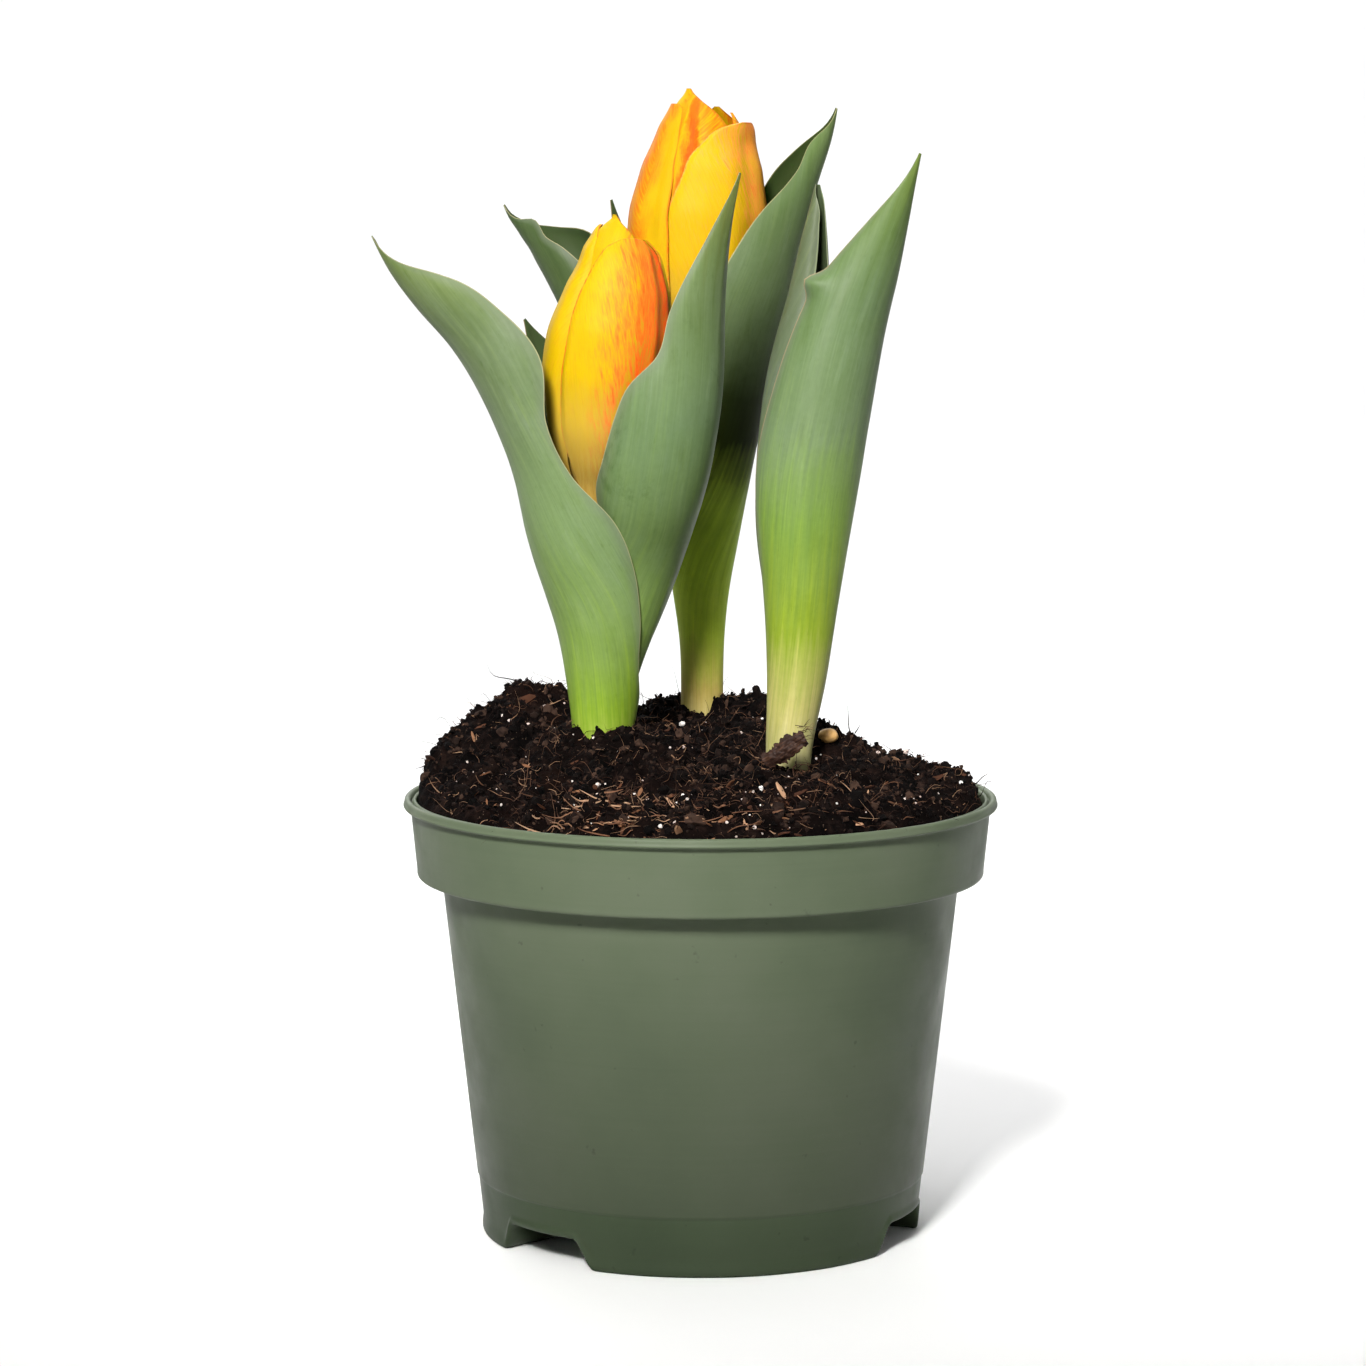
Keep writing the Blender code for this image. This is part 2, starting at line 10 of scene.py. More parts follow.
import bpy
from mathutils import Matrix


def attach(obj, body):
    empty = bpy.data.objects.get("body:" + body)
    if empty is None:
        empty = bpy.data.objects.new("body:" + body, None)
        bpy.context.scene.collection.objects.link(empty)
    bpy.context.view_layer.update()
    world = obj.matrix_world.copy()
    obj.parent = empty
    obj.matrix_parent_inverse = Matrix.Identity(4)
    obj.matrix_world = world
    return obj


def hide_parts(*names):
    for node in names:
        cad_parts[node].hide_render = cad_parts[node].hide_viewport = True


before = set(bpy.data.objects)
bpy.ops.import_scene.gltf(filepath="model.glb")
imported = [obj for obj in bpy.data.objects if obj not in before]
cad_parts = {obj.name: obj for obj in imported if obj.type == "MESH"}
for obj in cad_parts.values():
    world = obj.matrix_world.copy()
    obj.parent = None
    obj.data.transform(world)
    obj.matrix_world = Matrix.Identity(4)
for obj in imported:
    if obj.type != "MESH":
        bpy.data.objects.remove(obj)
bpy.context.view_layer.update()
print("nodes in the frame:", len(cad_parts))

# %% Libraries and the unit
import math

import bmesh
import bpy
import numpy as np
from mathutils import Matrix, Vector

MM = 0.001
print("every shape is worked out in millimetres and scaled by", MM)

# %% [markdown]
# ## From points to a piece
#
# Nearly every piece here is a sheet or a turned body: a grid of points, with a face between each four
# neighbours. A modifier stack could give such shapes too, but a grid keeps one number per point, such
# as how close it is to an edge, and the paint can read those numbers later.

# %% Faces of a grid


def grid_faces(rows, columns, start=0, closed=False, flip=False):
    """Quads between neighbouring rows of a grid of points, as an array of four indices each."""
    i, j = np.meshgrid(np.arange(rows - 1), np.arange(columns if closed else columns - 1), indexing="ij")
    after = (j + 1) % columns
    quads = np.stack([i * columns + j, i * columns + after, (i + 1) * columns + after, (i + 1) * columns + j], -1)
    quads = quads.reshape(-1, 4) + start
    return quads[:, ::-1] if flip else quads


print("a grid of 3 by 4 points has", len(grid_faces(3, 4)), "faces")

# %% An object from points


def mesh_object(name, points_mm, faces, numbers=None, paint=None, sharp=None):
    """An object from points in millimetres. numbers is {attribute name: one value per point}."""
    mesh = bpy.data.meshes.new(name)
    faces = faces if isinstance(faces, list) else np.asarray(faces).tolist()
    mesh.from_pydata(np.asarray(points_mm) * MM, [], faces)
    mesh.validate()
    for label, values in (numbers or {}).items():
        made = mesh.attributes.new(label, "FLOAT", "POINT")
        made.data.foreach_set("value", np.asarray(values, np.float32).ravel())
    mesh.shade_smooth()
    if sharp:
        mesh.set_sharp_from_angle(angle=math.radians(sharp))
    obj = bpy.data.objects.new(name, mesh)
    bpy.context.scene.collection.objects.link(obj)
    if paint:
        mesh.materials.append(paint)
    return obj


# %% Tie a piece to the measured part


def belongs(obj, node=None):
    """Puts a finished piece on the one body, in place of the measured node it stands for."""
    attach(obj, "root")
    if node:
        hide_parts(node)
    return obj


# %% [markdown]
# ## Two ways to shape a surface
#
# A smooth step eases a change in, as where a moulded wall bends. Soft lumps give the small unevenness
# of things that grow or crumble. Blender's own noise textures could displace a mesh, but numbers that
# are looked up in a fixed lattice give the same surface on every run and can be used at single points.

# %% A smooth step


def smoothstep(low, high, value):
    t = np.clip((np.asarray(value, float) - low) / (high - low), 0.0, 1.0)
    return t * t * (3 - 2 * t)


print("half way up a smooth step:", smoothstep(0, 1, 0.5))

# %% Soft lumps
LATTICE_SIDE = 48
LATTICE = np.random.default_rng(11).random((LATTICE_SIDE,) * 3)
LATTICE_MIDDLE = 500.0


def lumps(points, size, shift=0.0):
    """Soft random values from 0 to 1 in space; size is the distance between lumps."""
    p = np.asarray(points, float) / size + shift + LATTICE_MIDDLE
    low = np.floor(p).astype(int)
    f = p - low
    f = f * f * (3 - 2 * f)
    total = 0.0
    for corner in np.ndindex(2, 2, 2):
        x, y, z = ((low[..., k] + corner[k]) % LATTICE_SIDE for k in range(3))
        weight = [np.abs(1 - corner[k] - f[..., k]) for k in range(3)]
        total = total + weight[0] * weight[1] * weight[2] * LATTICE[x, y, z]
    return total


print("a soft value at one point:", round(float(lumps((1.0, 2.0, 3.0), 2.0)), 3))

# %% [markdown]
# ## The pot
#
# The real pot is thermoformed: one thin sheet of plastic drawn into a mould. It has a rolled lip with a
# groove behind it, a tall collar that lets pots stack, a tapered body and three feet left by the drainage
# channels. It could be made by solidifying a turned surface and cutting the channels with booleans. Here
# one closed line is turned round the axis, so the wall has its true thickness and the lip its double
# edge, and the channels push the underside and the foot of the wall upwards without any cut.

# %% Sizes of the pot
CHANNEL_ANGLES = (-45.6, 69.0, 192.0)
CHANNEL_HEIGHT = 6.0
CHANNEL_FLAT, CHANNEL_HALF = 8.6, 12.9
CHANNEL_START, CHANNEL_FULL = 13.6, 15.4
BODY_TOP, FOOT, BODY_HEIGHT = 52.4, 44.1, 73.1
TURNS = 360


def body_radius(height):
    return FOOT + (BODY_TOP - FOOT) * height / BODY_HEIGHT


print("the body tapers from", BODY_TOP, "to", FOOT, "mm; channels at", CHANNEL_ANGLES, "degrees")

# %% Drainage channels


def channel_rise(x, y):
    """How far the underside is pushed up at a point, in millimetres; the channels' sides are S-shaped."""
    rise = np.zeros_like(x)
    for degrees in CHANNEL_ANGLES:
        turn = math.radians(degrees)
        out = x * math.sin(turn) - y * math.cos(turn)
        aside = np.abs(x * math.cos(turn) + y * math.sin(turn))
        side = smoothstep(CHANNEL_HALF, CHANNEL_FLAT, aside)
        rise = np.maximum(rise, CHANNEL_HEIGHT * side * smoothstep(CHANNEL_START, CHANNEL_FULL, out))
    return rise


print("the first channel lifts the foot by", channel_rise(np.array([-31.3]), np.array([-30.6]))[0], "mm")

# %% Lip and collar, as rows of (radius, height)
INNER_LIP = ((51.3, 72.0), (51.5, 73.6), (53.0, 74.0), (55.4, 74.2), (56.05, 74.6), (56.15, 75.4))
LIP_ROWS = (
    (57.25, 80.0), (57.3, 87.6), (57.33, 88.2), (57.45, 88.5), (57.7, 88.62), (57.95, 88.5), (58.1, 88.15),
    (58.2, 87.9), (58.35, 87.9), (58.45, 88.25), (58.6, 88.65), (58.85, 88.85), (59.2, 88.9), (59.5, 88.82),
    (59.72, 88.6), (59.8, 88.3), (59.82, 87.95), (59.9, 87.7), (60.0, 87.55), (60.0, 87.35), (59.88, 87.15),
    (59.55, 87.03), (59.0, 86.98), (58.65, 86.9), (58.52, 86.7), (58.48, 86.3),
)
COLLAR_ROWS = tuple((58.48 - 1.16 * t, 86.0 - 11.6 * t) for t in np.linspace(0, 1, 15)) + (
    (57.32, 73.95), (57.3, 73.6), (57.2, 73.3), (57.0, 73.12), (56.6, 73.05), (55.2, 73.0), (53.6, 72.9),
    (52.9, 72.75), (52.55, 72.5), (52.42, 72.0),
)
print("rows of the lip and collar:", len(INNER_LIP) + len(LIP_ROWS) + len(COLLAR_ROWS))

# %% The outside, from the lip down to the feet
FOOT_STEP = ((12.5, 0.0), (12.15, 0.0), (11.95, -0.12), (11.7, -0.24), (11.4, -0.2))
FOOT_ROUNDING = ((-0.26, 0.5), (-0.1, 0.2), (0.2, 0.04), (0.7, 0.0))
FOOT_TOP, FOOT_EDGE = 11.2, 0.8

turns = np.linspace(0, 2 * math.pi, TURNS, endpoint=False)
across = np.c_[np.sin(turns), -np.cos(turns)]
foot_rise = channel_rise(across[:, 0] * 43.8, across[:, 1] * 43.8)


def level(radius, height):
    """A ring with one radius and one height all the way round."""
    return np.full(TURNS, radius), np.full(TURNS, height)


def outside_rings():
    rings = [level(radius, height) for radius, height in (*INNER_LIP, *LIP_ROWS, *COLLAR_ROWS)]
    rings += [level(body_radius(height), height) for height in np.linspace(71.0, 13.2, 26)]
    rings += [level(body_radius(height) + step, height) for height, step in FOOT_STEP]
    for part in np.linspace(1, 0, 16)[1:]:
        height = foot_rise + FOOT_EDGE + (FOOT_TOP - FOOT_EDGE - foot_rise) * part
        radius = body_radius(height) - 0.2 * smoothstep(0, 0.3, part) + 0.25 * (1 - smoothstep(0, 0.25, part))
        rings.append((radius, height))
    return rings + [(body_radius(foot_rise) - inset, foot_rise + lift) for inset, lift in FOOT_ROUNDING]


print("rings of the outside:", len(outside_rings()))

# %% The underside, the floor and the inner wall
HUB_RADII = (1.0, 4.0, 8.0, 12.0, 13.2, 14.0, 14.8, 15.6)
FLOOR_THICK, WALL_THICK = 1.2, 1.15


def inside_rings():
    rings = []
    for radius in (*np.linspace(42.4, 16.5, 26), *HUB_RADII[::-1]):
        rings.append((np.full(TURNS, radius), channel_rise(across[:, 0] * radius, across[:, 1] * radius)))
    for radius in (*HUB_RADII, *np.linspace(17.0, 41.5, 18)):
        rise = channel_rise(across[:, 0] * (radius + 0.9), across[:, 1] * (radius + 0.9))
        rings.append((np.full(TURNS, radius), rise + FLOOR_THICK))
    for part in np.linspace(0, 1, 8):
        height = foot_rise + 1.6 + (14.0 - 1.6 - foot_rise) * part
        rings.append((body_radius(height) - WALL_THICK, height))
    return rings + [level(body_radius(height) - 1.1, height) for height in np.linspace(22.0, 68.0, 5)]


print("rings round the pot:", len(outside_rings()) + len(inside_rings()))

# %% The pot as one closed sheet


def make_pot(paint):
    rings = outside_rings() + inside_rings()
    radius = np.array([ring[0] for ring in rings])
    height = np.array([ring[1] for ring in rings])
    points = np.stack([radius * across[:, 0], radius * across[:, 1], height], -1)
    faces = grid_faces(len(rings), TURNS, closed=True)
    last, first = (len(rings) - 1) * TURNS + np.arange(TURNS), np.arange(TURNS)
    join = np.stack([last, np.roll(last, -1), np.roll(first, -1), first], -1)
    obj = mesh_object("nursery_pot", points.reshape(-1, 3), np.concatenate([faces, join]),
                      {"height": height}, paint, sharp=60)
    bm = bmesh.new()
    bm.from_mesh(obj.data)
    bmesh.ops.recalc_face_normals(bm, faces=bm.faces)
    bm.to_mesh(obj.data)
    bm.free()
    return obj


print("points in each ring:", TURNS)

# %% [markdown]
# ## A short way to write paint
#
# Every surface is painted with patterns worked out from its shape: noise, cells, ramps of colour and
# bumps. The shader editor could hold the same nodes, but a recipe of a few lines is easier to compare
# and change. Three short classes build on each other: the first joins nodes, the second reads places
# and patterns, and the third mixes colours. A value may be a number, a colour or another step's result.

# %% Joining nodes


class Recipe:
    """A new material. put() sets a socket or links it, and set() does so on the Principled shader."""

    def __init__(self, name, **shader_values):
        self.material = bpy.data.materials.new(name)
        self.material.use_nodes = True
        self.tree = self.material.node_tree
        self.shader = self.tree.nodes["Principled BSDF"]
        self.place = self.node("TexCoord", {}).outputs["Object"]
        for label, value in shader_values.items():
            self.set(label.replace("_", " "), value)

    def put(self, socket, value):
        if isinstance(value, bpy.types.NodeSocket):
            self.tree.links.new(value, socket)
        elif isinstance(value, tuple) and len(value) == 3 and socket.type == "RGBA":
            socket.default_value = (*value, 1.0)
        else:
            socket.default_value = value

    def set(self, label, value):
        self.put(self.shader.inputs[label], value)

    def node(self, kind, values, **settings):
        """A new node; values are {input name or number: value}."""
        made = self.tree.nodes.new("ShaderNode" + kind)
        for label, setting in settings.items():
            setattr(made, label, setting)
        for socket, value in values.items():
            self.put(made.inputs[socket], value)
        return made


print("a recipe can", [word for word in vars(Recipe) if not word.startswith("_")])

# %% Places, numbers and patterns


class Patterns(Recipe):
    def number(self, label):
        """One of the numbers that the mesh carries at each point."""
        return self.node("Attribute", {}, attribute_name=label).outputs["Fac"]

    def math(self, how, a, b=0.0):
        return self.node("Math", {0: a, 1: b}, operation=how).outputs[0]

    def times(self, a, b):
        return self.math("MULTIPLY", a, b)

    def plus(self, a, b):
        return self.math("ADD", a, b)

    def swing(self, value, size):
        """Turns a pattern from 0 to 1 into a shift to either side of nothing, size wide in all."""
        return self.times(self.math("SUBTRACT", value, 0.5), size)

    def range(self, value, low, high, to_low=0.0, to_high=1.0):
        items = dict(enumerate((value, low, high, to_low, to_high)))
        return self.node("MapRange", items, clamp=True).outputs[0]

    def where(self, x, y, z=0.0):
        return self.node("CombineXYZ", {0: x, 1: y, 2: z}).outputs[0]

    def stretched(self, factors):
        return self.node("Mapping", {"Vector": self.place, "Scale": factors}).outputs[0]

    def noise(self, scale, detail=3.0, place=None, rough=0.55, twist=0.0):
        items = {"Vector": place or self.place, "Scale": scale, "Detail": detail, "Roughness": rough,
                 "Distortion": twist}
        return self.node("TexNoise", items).outputs["Fac"]

    def cells(self, scale):
        return self.node("TexVoronoi", {"Vector": self.place, "Scale": scale}).outputs["Distance"]


print("patterns:", [word for word in vars(Patterns) if not word.startswith("_")])

# %% Colours and bumps


class Paint(Patterns):
    def ramp(self, value, *stops):
        """stops are (position, colour); a colour can be one number for a grey."""
        node = self.node("ValToRGB", {"Fac": value})
        elements = node.color_ramp.elements
        while len(elements) < len(stops):
            elements.new(0.5)
        for element, (position, colour) in zip(elements, stops):
            element.position = position
            element.color = (*colour, 1.0) if isinstance(colour, tuple) else (colour, colour, colour, 1.0)
        return node.outputs["Color"]

    def mix(self, part, a, b, how="MIX"):
        node = self.node("Mix", {}, data_type="RGBA", blend_type=how)
        for socket, value in (("Factor", part), (6, a), (7, b)):
            self.put(node.inputs[socket], value)
        return node.outputs[2]

    def shade(self, part, colour, tint):
        """The colour multiplied by a tint, as far as part says."""
        return self.mix(part, colour, tint, "MULTIPLY")

    def bump(self, height, depth_mm, strength=1.0):
        node = self.node("Bump", {"Strength": strength, "Distance": depth_mm * MM, "Height": height})
        if self.shader.inputs["Normal"].links:
            self.put(node.inputs["Normal"], self.shader.inputs["Normal"].links[0].from_socket)
        self.set("Normal", node.outputs["Normal"])


print("a recipe can use:", [name for name in dir(Paint) if not name.startswith("_")])

# %% [markdown]
# ### The pot's plastic
#
# Recycled grey-green plastic is a little uneven in colour. Fine rings from the forming run round it, pale
# and dark specks lie in it, dust and handling dull it, and the feet are cooler. A plain colour with a
# glossy coat would look like a toy, so the rings and specks are mixed into the colour, and slow noise
# changes how it shines. The colour is also darkened towards the foot as painted shade.

# %% Colours of the plastic
PLASTIC_TONES = ((0.32, (0.092, 0.120, 0.072)), (0.5, (0.109, 0.138, 0.084)), (0.68, (0.124, 0.150, 0.097)))
PALE_SPECK, DUST_SPECK, DARK_SPECK = (0.34, 0.36, 0.27), (0.20, 0.21, 0.15), (0.05, 0.06, 0.04)
# Painted shade: the plastic's colour is multiplied from 0.76 at the rim down to 0.32 at the foot
PAINTED_SHADE_BY_HEIGHT = ((0.0, 0.32), (0.22, 0.43), (0.5, 0.55), (0.82, 0.69), (1.0, 0.76))
FOOT_TINT, RIM_HEIGHT = (0.76, 0.88, 0.74), 88.0


def pot_paint():
    paint = Paint("grey_green_plastic", Specular_IOR_Level=0.12)
    rings = paint.noise(1.0, 4.0, paint.stretched((14, 14, 1300)))
    clouds = paint.noise(26.0, 4.0)
    colour = paint.ramp(paint.plus(paint.times(clouds, 0.86), paint.times(rings, 0.14)), *PLASTIC_TONES)
    pale = paint.times(paint.range(paint.cells(900.0), 0.055, 0.02), paint.range(paint.noise(190.0, 1.0), 0.52, 0.58))
    colour = paint.mix(paint.times(pale, 0.55), colour, PALE_SPECK)
    dust = paint.times(paint.range(paint.cells(2600.0), 0.10, 0.05), paint.range(paint.noise(60.0, 3.0), 0.45, 0.7))
    colour = paint.mix(paint.times(dust, 0.4), colour, DUST_SPECK)
    dark = paint.range(paint.noise(420.0, 2.0), 0.72, 0.78)
    colour = paint.mix(paint.times(dark, 0.5), colour, DARK_SPECK)
    # Painted shade: the colour darkens towards the foot
    low = paint.ramp(paint.range(paint.number("height"), 0.0, RIM_HEIGHT), *PAINTED_SHADE_BY_HEIGHT)
    colour = paint.shade(1.0, colour, low)
    foot = paint.range(paint.number("height"), 12.6, 11.6, 0.0, 0.8)
    paint.set("Base Color", paint.shade(foot, colour, FOOT_TINT))
    paint.set("Roughness", paint.range(paint.noise(90.0, 5.0), 0.3, 0.7, 0.38, 0.56))
    paint.bump(rings, 0.03, 0.2)
    paint.bump(paint.noise(700.0, 3.0), 0.05, 0.25)
    return paint.material


pot = belongs(make_pot(pot_paint()), "pot")
print("pot points:", len(pot.data.vertices))

# %% [markdown]
# ## The peat
#
# Real potting peat is a mound of clods, crumbs, roots and bark with a few white perlite grains, heaped
# above the rim and higher on the left. A bumpy material on a smooth disc would look flat at the edge and
# against the light, and a simulation of loose grains takes long for little. Here the bed is a fine grid
# whose heights come from folded noise: rounded lumps of several sizes with creases between them.

# %% Shape of the mound, as (x, y, rise, spread) in millimetres
SOIL_RADIUS, SOIL_EDGE, SOIL_CROWN = 57.0, 87.6, 13.0
SOIL_MOUNDS = (
    (-36, 16, 13, 12.5), (-3, 34, 7, 12), (-50, -4, 3.5, 10), (-20, -12, 6.5, 8.5), (17, -17, -1.6, 9),
    (13, 30, 4, 8), (25, 6, 4, 6.5), (46, 24, -6, 14), (48, -2, 1.5, 8),
)


def mound_height(x, y):
    reach = np.clip(np.hypot(x, y) / SOIL_RADIUS, 0, 1)
    height = SOIL_EDGE + SOIL_CROWN * (1 - reach**2) ** 0.6
    for mound_x, mound_y, rise, spread in SOIL_MOUNDS:
        height = height + rise * np.exp(-((x - mound_x) ** 2 + (y - mound_y) ** 2) / (2 * spread**2))
    return height, smoothstep(1.0, 0.94, reach)


print("the peat's middle is", round(float(mound_height(0.0, 0.0)[0]), 1), "mm high before its clods")

# %% Clods
SOIL_DROP = 2.1


def folded(points, size, shift):
    """Rounded lumps with narrow creases between them, from 0 to 1."""
    return np.abs(2 * lumps(points, size, shift) - 1)


def soil_height(x, y):
    height, inside = mound_height(x, y)
    flat = np.stack([x, y, 0 * x], -1)
    rough = 3.2 * (lumps(flat, 9.0, 3.1) - 0.5) + 2.9 * folded(flat, 4.6, 8.2) + 1.7 * folded(flat, 2.1, 1.7)
    fine = 0.8 * folded(flat, 1.05, 5.5) + 0.35 * lumps(flat, 0.55, 2.2)
    return height + rough * (0.35 + 0.65 * inside) - SOIL_DROP + fine * (0.4 + 0.6 * inside)


print("peat behind the front rim:", soil_height(np.array([0.0]), np.array([-50.0])).round(1), "mm")

# %% The bed
SOIL_WALL = ((57.0, 86.0), (55.8, 75.0), (50.9, 73.0), (46.4, 30.0))
SOIL_CLEAR = 1.7


def soil_ring(radius, height_at):
    x, y = (across * radius).T
    return np.stack([x, y, height_at(x, y)], -1)


def make_soil_bed(paint):
    rings = [soil_ring(radius, soil_height) for radius in (0.25, *np.linspace(0.9, 56.9, 112))]
    rings += [np.c_[across * radius, np.full(TURNS, height)] for radius, height in SOIL_WALL]
    edge = channel_rise(across[:, 0] * 42.0, across[:, 1] * 42.0) + SOIL_CLEAR
    rings.append(np.c_[across * 43.3, edge + 4.0])
    for radius in (42.0, 30.0, 16.5, 15.0, 13.5, 1.0):
        rings.append(soil_ring(radius, lambda x, y: channel_rise(x * 1.02, y * 1.02) + SOIL_CLEAR))
    faces = grid_faces(len(rings), TURNS, closed=True, flip=True)
    return mesh_object("peat_bed", np.array(rings).reshape(-1, 3), faces, paint=paint)


print("the bed is closed", SOIL_CLEAR, "mm above the underside of the pot")

# %% [markdown]
# Wet peat is nearly black, a little redder in patches, with paler grains in it. Its paint mottles four
# dark browns finely, and a strong bump from very fine noise breaks up the light between the crumbs.

# %% Paint of the bed
PEAT_TONES = ((0.38, (0.0008, 0.0007, 0.0007)), (0.53, (0.0032, 0.0022, 0.0020)),
              (0.65, (0.0125, 0.0072, 0.0056)), (0.80, (0.052, 0.029, 0.021)))
PEAT_RED, PEAT_GRAIN = (0.017, 0.0075, 0.0050), (0.22, 0.15, 0.11)


def soil_paint():
    paint = Paint("dark_peat", Roughness=0.93, Specular_IOR_Level=0.03)
    colour = paint.ramp(paint.noise(230.0, 6.0, rough=0.7), *PEAT_TONES)
    red = paint.range(paint.noise(60.0, 3.0), 0.45, 0.68)
    colour = paint.mix(paint.times(red, 0.25), colour, PEAT_RED)
    dots = paint.range(paint.cells(1500.0), 0.22, 0.1)
    grains = paint.times(dots, paint.range(paint.noise(500.0, 2.0), 0.58, 0.66))
    paint.set("Base Color", paint.mix(paint.times(grains, 0.7), colour, PEAT_GRAIN))
    paint.bump(paint.noise(700.0, 7.0, rough=0.75), 0.9, 1.0)
    return paint.material


soil = belongs(make_soil_bed(soil_paint()), "soil")
print("peat bed points:", len(soil.data.vertices))

# %% [markdown]
# ### Loose pieces on the peat
#
# Crumbs, flakes and grains are all small lumps, so one function makes them: a rough ball is squeezed,
# turned and dropped at its place. Copies by geometry nodes would be lost in an export, so thousands of
# them share one real mesh. Each lump carries a random tone, which the paint turns into its own shade.

# %% Places on the peat


def on_soil(rng, count, spread=56.0, lift=0.0):
    radius, turn = spread * np.sqrt(rng.random(count)), rng.uniform(0, 2 * math.pi, count)
    x, y = radius * np.sin(turn), -radius * np.cos(turn)
    return np.stack([x, y, soil_height(x, y) + lift], -1)


def near_front(rng, count):
    """Places in the crescent of soil just behind the front of the rim."""
    turn = rng.normal(scale=0.55, size=count)
    radius = rng.uniform(42, 56.2, count)
    x, y = radius * np.sin(turn), -radius * np.cos(turn)
    return np.stack([x, y, soil_height(x, y)], -1)


print("one place on the peat:", on_soil(np.random.default_rng(0), 1).round(1))

# %% Directions


def unit(vectors):
    return vectors / np.linalg.norm(vectors, axis=-1, keepdims=True)


def random_turns(rng, count):
    """Rotations that turn a lump any way up, from random quaternions."""
    w, x, y, z = unit(rng.normal(size=(count, 4))).T
    return np.stack([
        1 - 2 * (y * y + z * z), 2 * (x * y - w * z), 2 * (x * z + w * y),
        2 * (x * y + w * z), 1 - 2 * (x * x + z * z), 2 * (y * z - w * x),
        2 * (x * z - w * y), 2 * (y * z + w * x), 1 - 2 * (x * x + y * y),
    ], -1).reshape(-1, 3, 3)


def lying_turns(rng, count, tilt):
    """Rotations for flat pieces: any direction on the peat, with a small random lean."""
    turns = np.zeros((count, 3, 3))
    angle = rng.uniform(0, 2 * math.pi, count)
    turns[:, 2, :2] = rng.normal(scale=tilt, size=(count, 2))
    turns[:, 0, 0], turns[:, 0, 1], turns[:, 1, 0], turns[:, 1, 1] = (
        np.cos(angle), -np.sin(angle), np.sin(angle), np.cos(angle))
    turns[:, 2, 2] = 1
    return turns


print("a direction has length one:", unit(np.array([3.0, 4.0])))

# %% Many rough lumps in one mesh


def ball(level):
    bm = bmesh.new()
    bmesh.ops.create_icosphere(bm, subdivisions=level, radius=1.0)
    points = np.array([vert.co[:] for vert in bm.verts])
    faces = np.array([[vert.index for vert in face.verts] for face in bm.faces])
    bm.free()
    return points, faces


def scatter_lumps(name, places, sizes, level, roughness, rng, paint, tilt=None, sharp=35):
    """places and sizes have one row of three millimetres per lump."""
    points, faces = ball(level)
    count = len(places)
    shape = 1 + roughness * rng.normal(size=(count, len(points), 1))
    local = points[None] * shape * sizes[:, None]
    turns = random_turns(rng, count)
    if tilt is not None:
        turns = lying_turns(rng, count, tilt)
    world = np.einsum("nij,nkj->nki", turns, local) + places[:, None]
    index = (faces[None] + (np.arange(count) * len(points))[:, None, None]).reshape(-1, 3)
    tone = np.repeat(rng.random(count), len(points))
    return mesh_object(name, world.reshape(-1, 3), index, {"tone": tone}, paint, sharp)


print("points of a ball at level 2:", len(ball(2)[0]))

# %% [markdown]
# Roots and splinters are threads: thin tubes with three sides that taper and bend. Curves with a bevel
# would need an object for each, so the bends of all threads are worked out at once.

# %% Many thin threads in one mesh
THREAD_STEPS, THREAD_SIDES = 8, 3


def thread_lines(starts, headings, lengths, rng, bend):
    """The middle line of each thread, and the two directions across it."""
    along = np.linspace(0, 1, THREAD_STEPS)
    aside = unit(np.cross(headings, rng.normal(size=(len(starts), 3))))
    third = np.cross(headings, aside)
    curl = rng.normal(scale=bend, size=(len(starts), 4))
    length = lengths[:, None]
    wave_a = length * (curl[:, :1] * along**2 + 0.35 * curl[:, 2:3] * np.sin(5 * along + 7 * curl[:, 1:2]))
    wave_b = length * (curl[:, 1:2] * along**2 + 0.35 * curl[:, 3:4] * np.cos(6 * along + 5 * curl[:, :1]))
    straight = starts[:, None] + headings[:, None] * (length * along)[..., None]
    return straight + aside[:, None] * wave_a[..., None] + third[:, None] * wave_b[..., None], aside, third


def scatter_threads(name, starts, headings, lengths, widths, rng, paint, bend=0.5):
    line, aside, third = thread_lines(starts, headings, lengths, rng, bend)
    taper = widths[:, None] * (1 - 0.75 * np.linspace(0, 1, THREAD_STEPS) ** 2)
    spin = np.arange(THREAD_SIDES) * 2 * math.pi / THREAD_SIDES
    ring = aside[:, None, None] * np.cos(spin)[:, None] + third[:, None, None] * np.sin(spin)[:, None]
    points = line[:, :, None] + ring * taper[..., None, None]
    size = THREAD_SIDES * THREAD_STEPS
    offset = (np.arange(len(starts)) * size)[:, None, None]
    quads = (grid_faces(THREAD_STEPS, THREAD_SIDES, closed=True)[None] + offset).reshape(-1, 4).tolist()
    caps = np.array([[0, 2, 1], [size - 3, size - 2, size - 1]])
    ends = (caps[None] + offset).reshape(-1, 3).tolist()
    tone = np.repeat(rng.random(len(starts)), size)
    return mesh_object(name, points.reshape(-1, 3), quads + ends, {"tone": tone}, paint)


print("points in a thread:", THREAD_STEPS * THREAD_SIDES)

# %% Paint for scattered pieces


def toned_paint(name, stops, grain, roughness=0.8, depth=0.15):
    """Each piece's own tone picks its shade, and grain mottles it."""
    paint = Paint(name, Roughness=roughness, Specular_IOR_Level=0.06)
    mottle = paint.noise(grain, 5.0, rough=0.65)
    tone = paint.plus(paint.number("tone"), paint.swing(mottle, 0.5))
    paint.set("Base Color", paint.ramp(tone, *stops))
    paint.bump(mottle, depth, 0.8)
    return paint.material


# %% [markdown]
# The crumbs come first, then a finer grit that fills between them. Sizes follow a lognormal spread, as
# sieved soil does: many small ones and a few large.

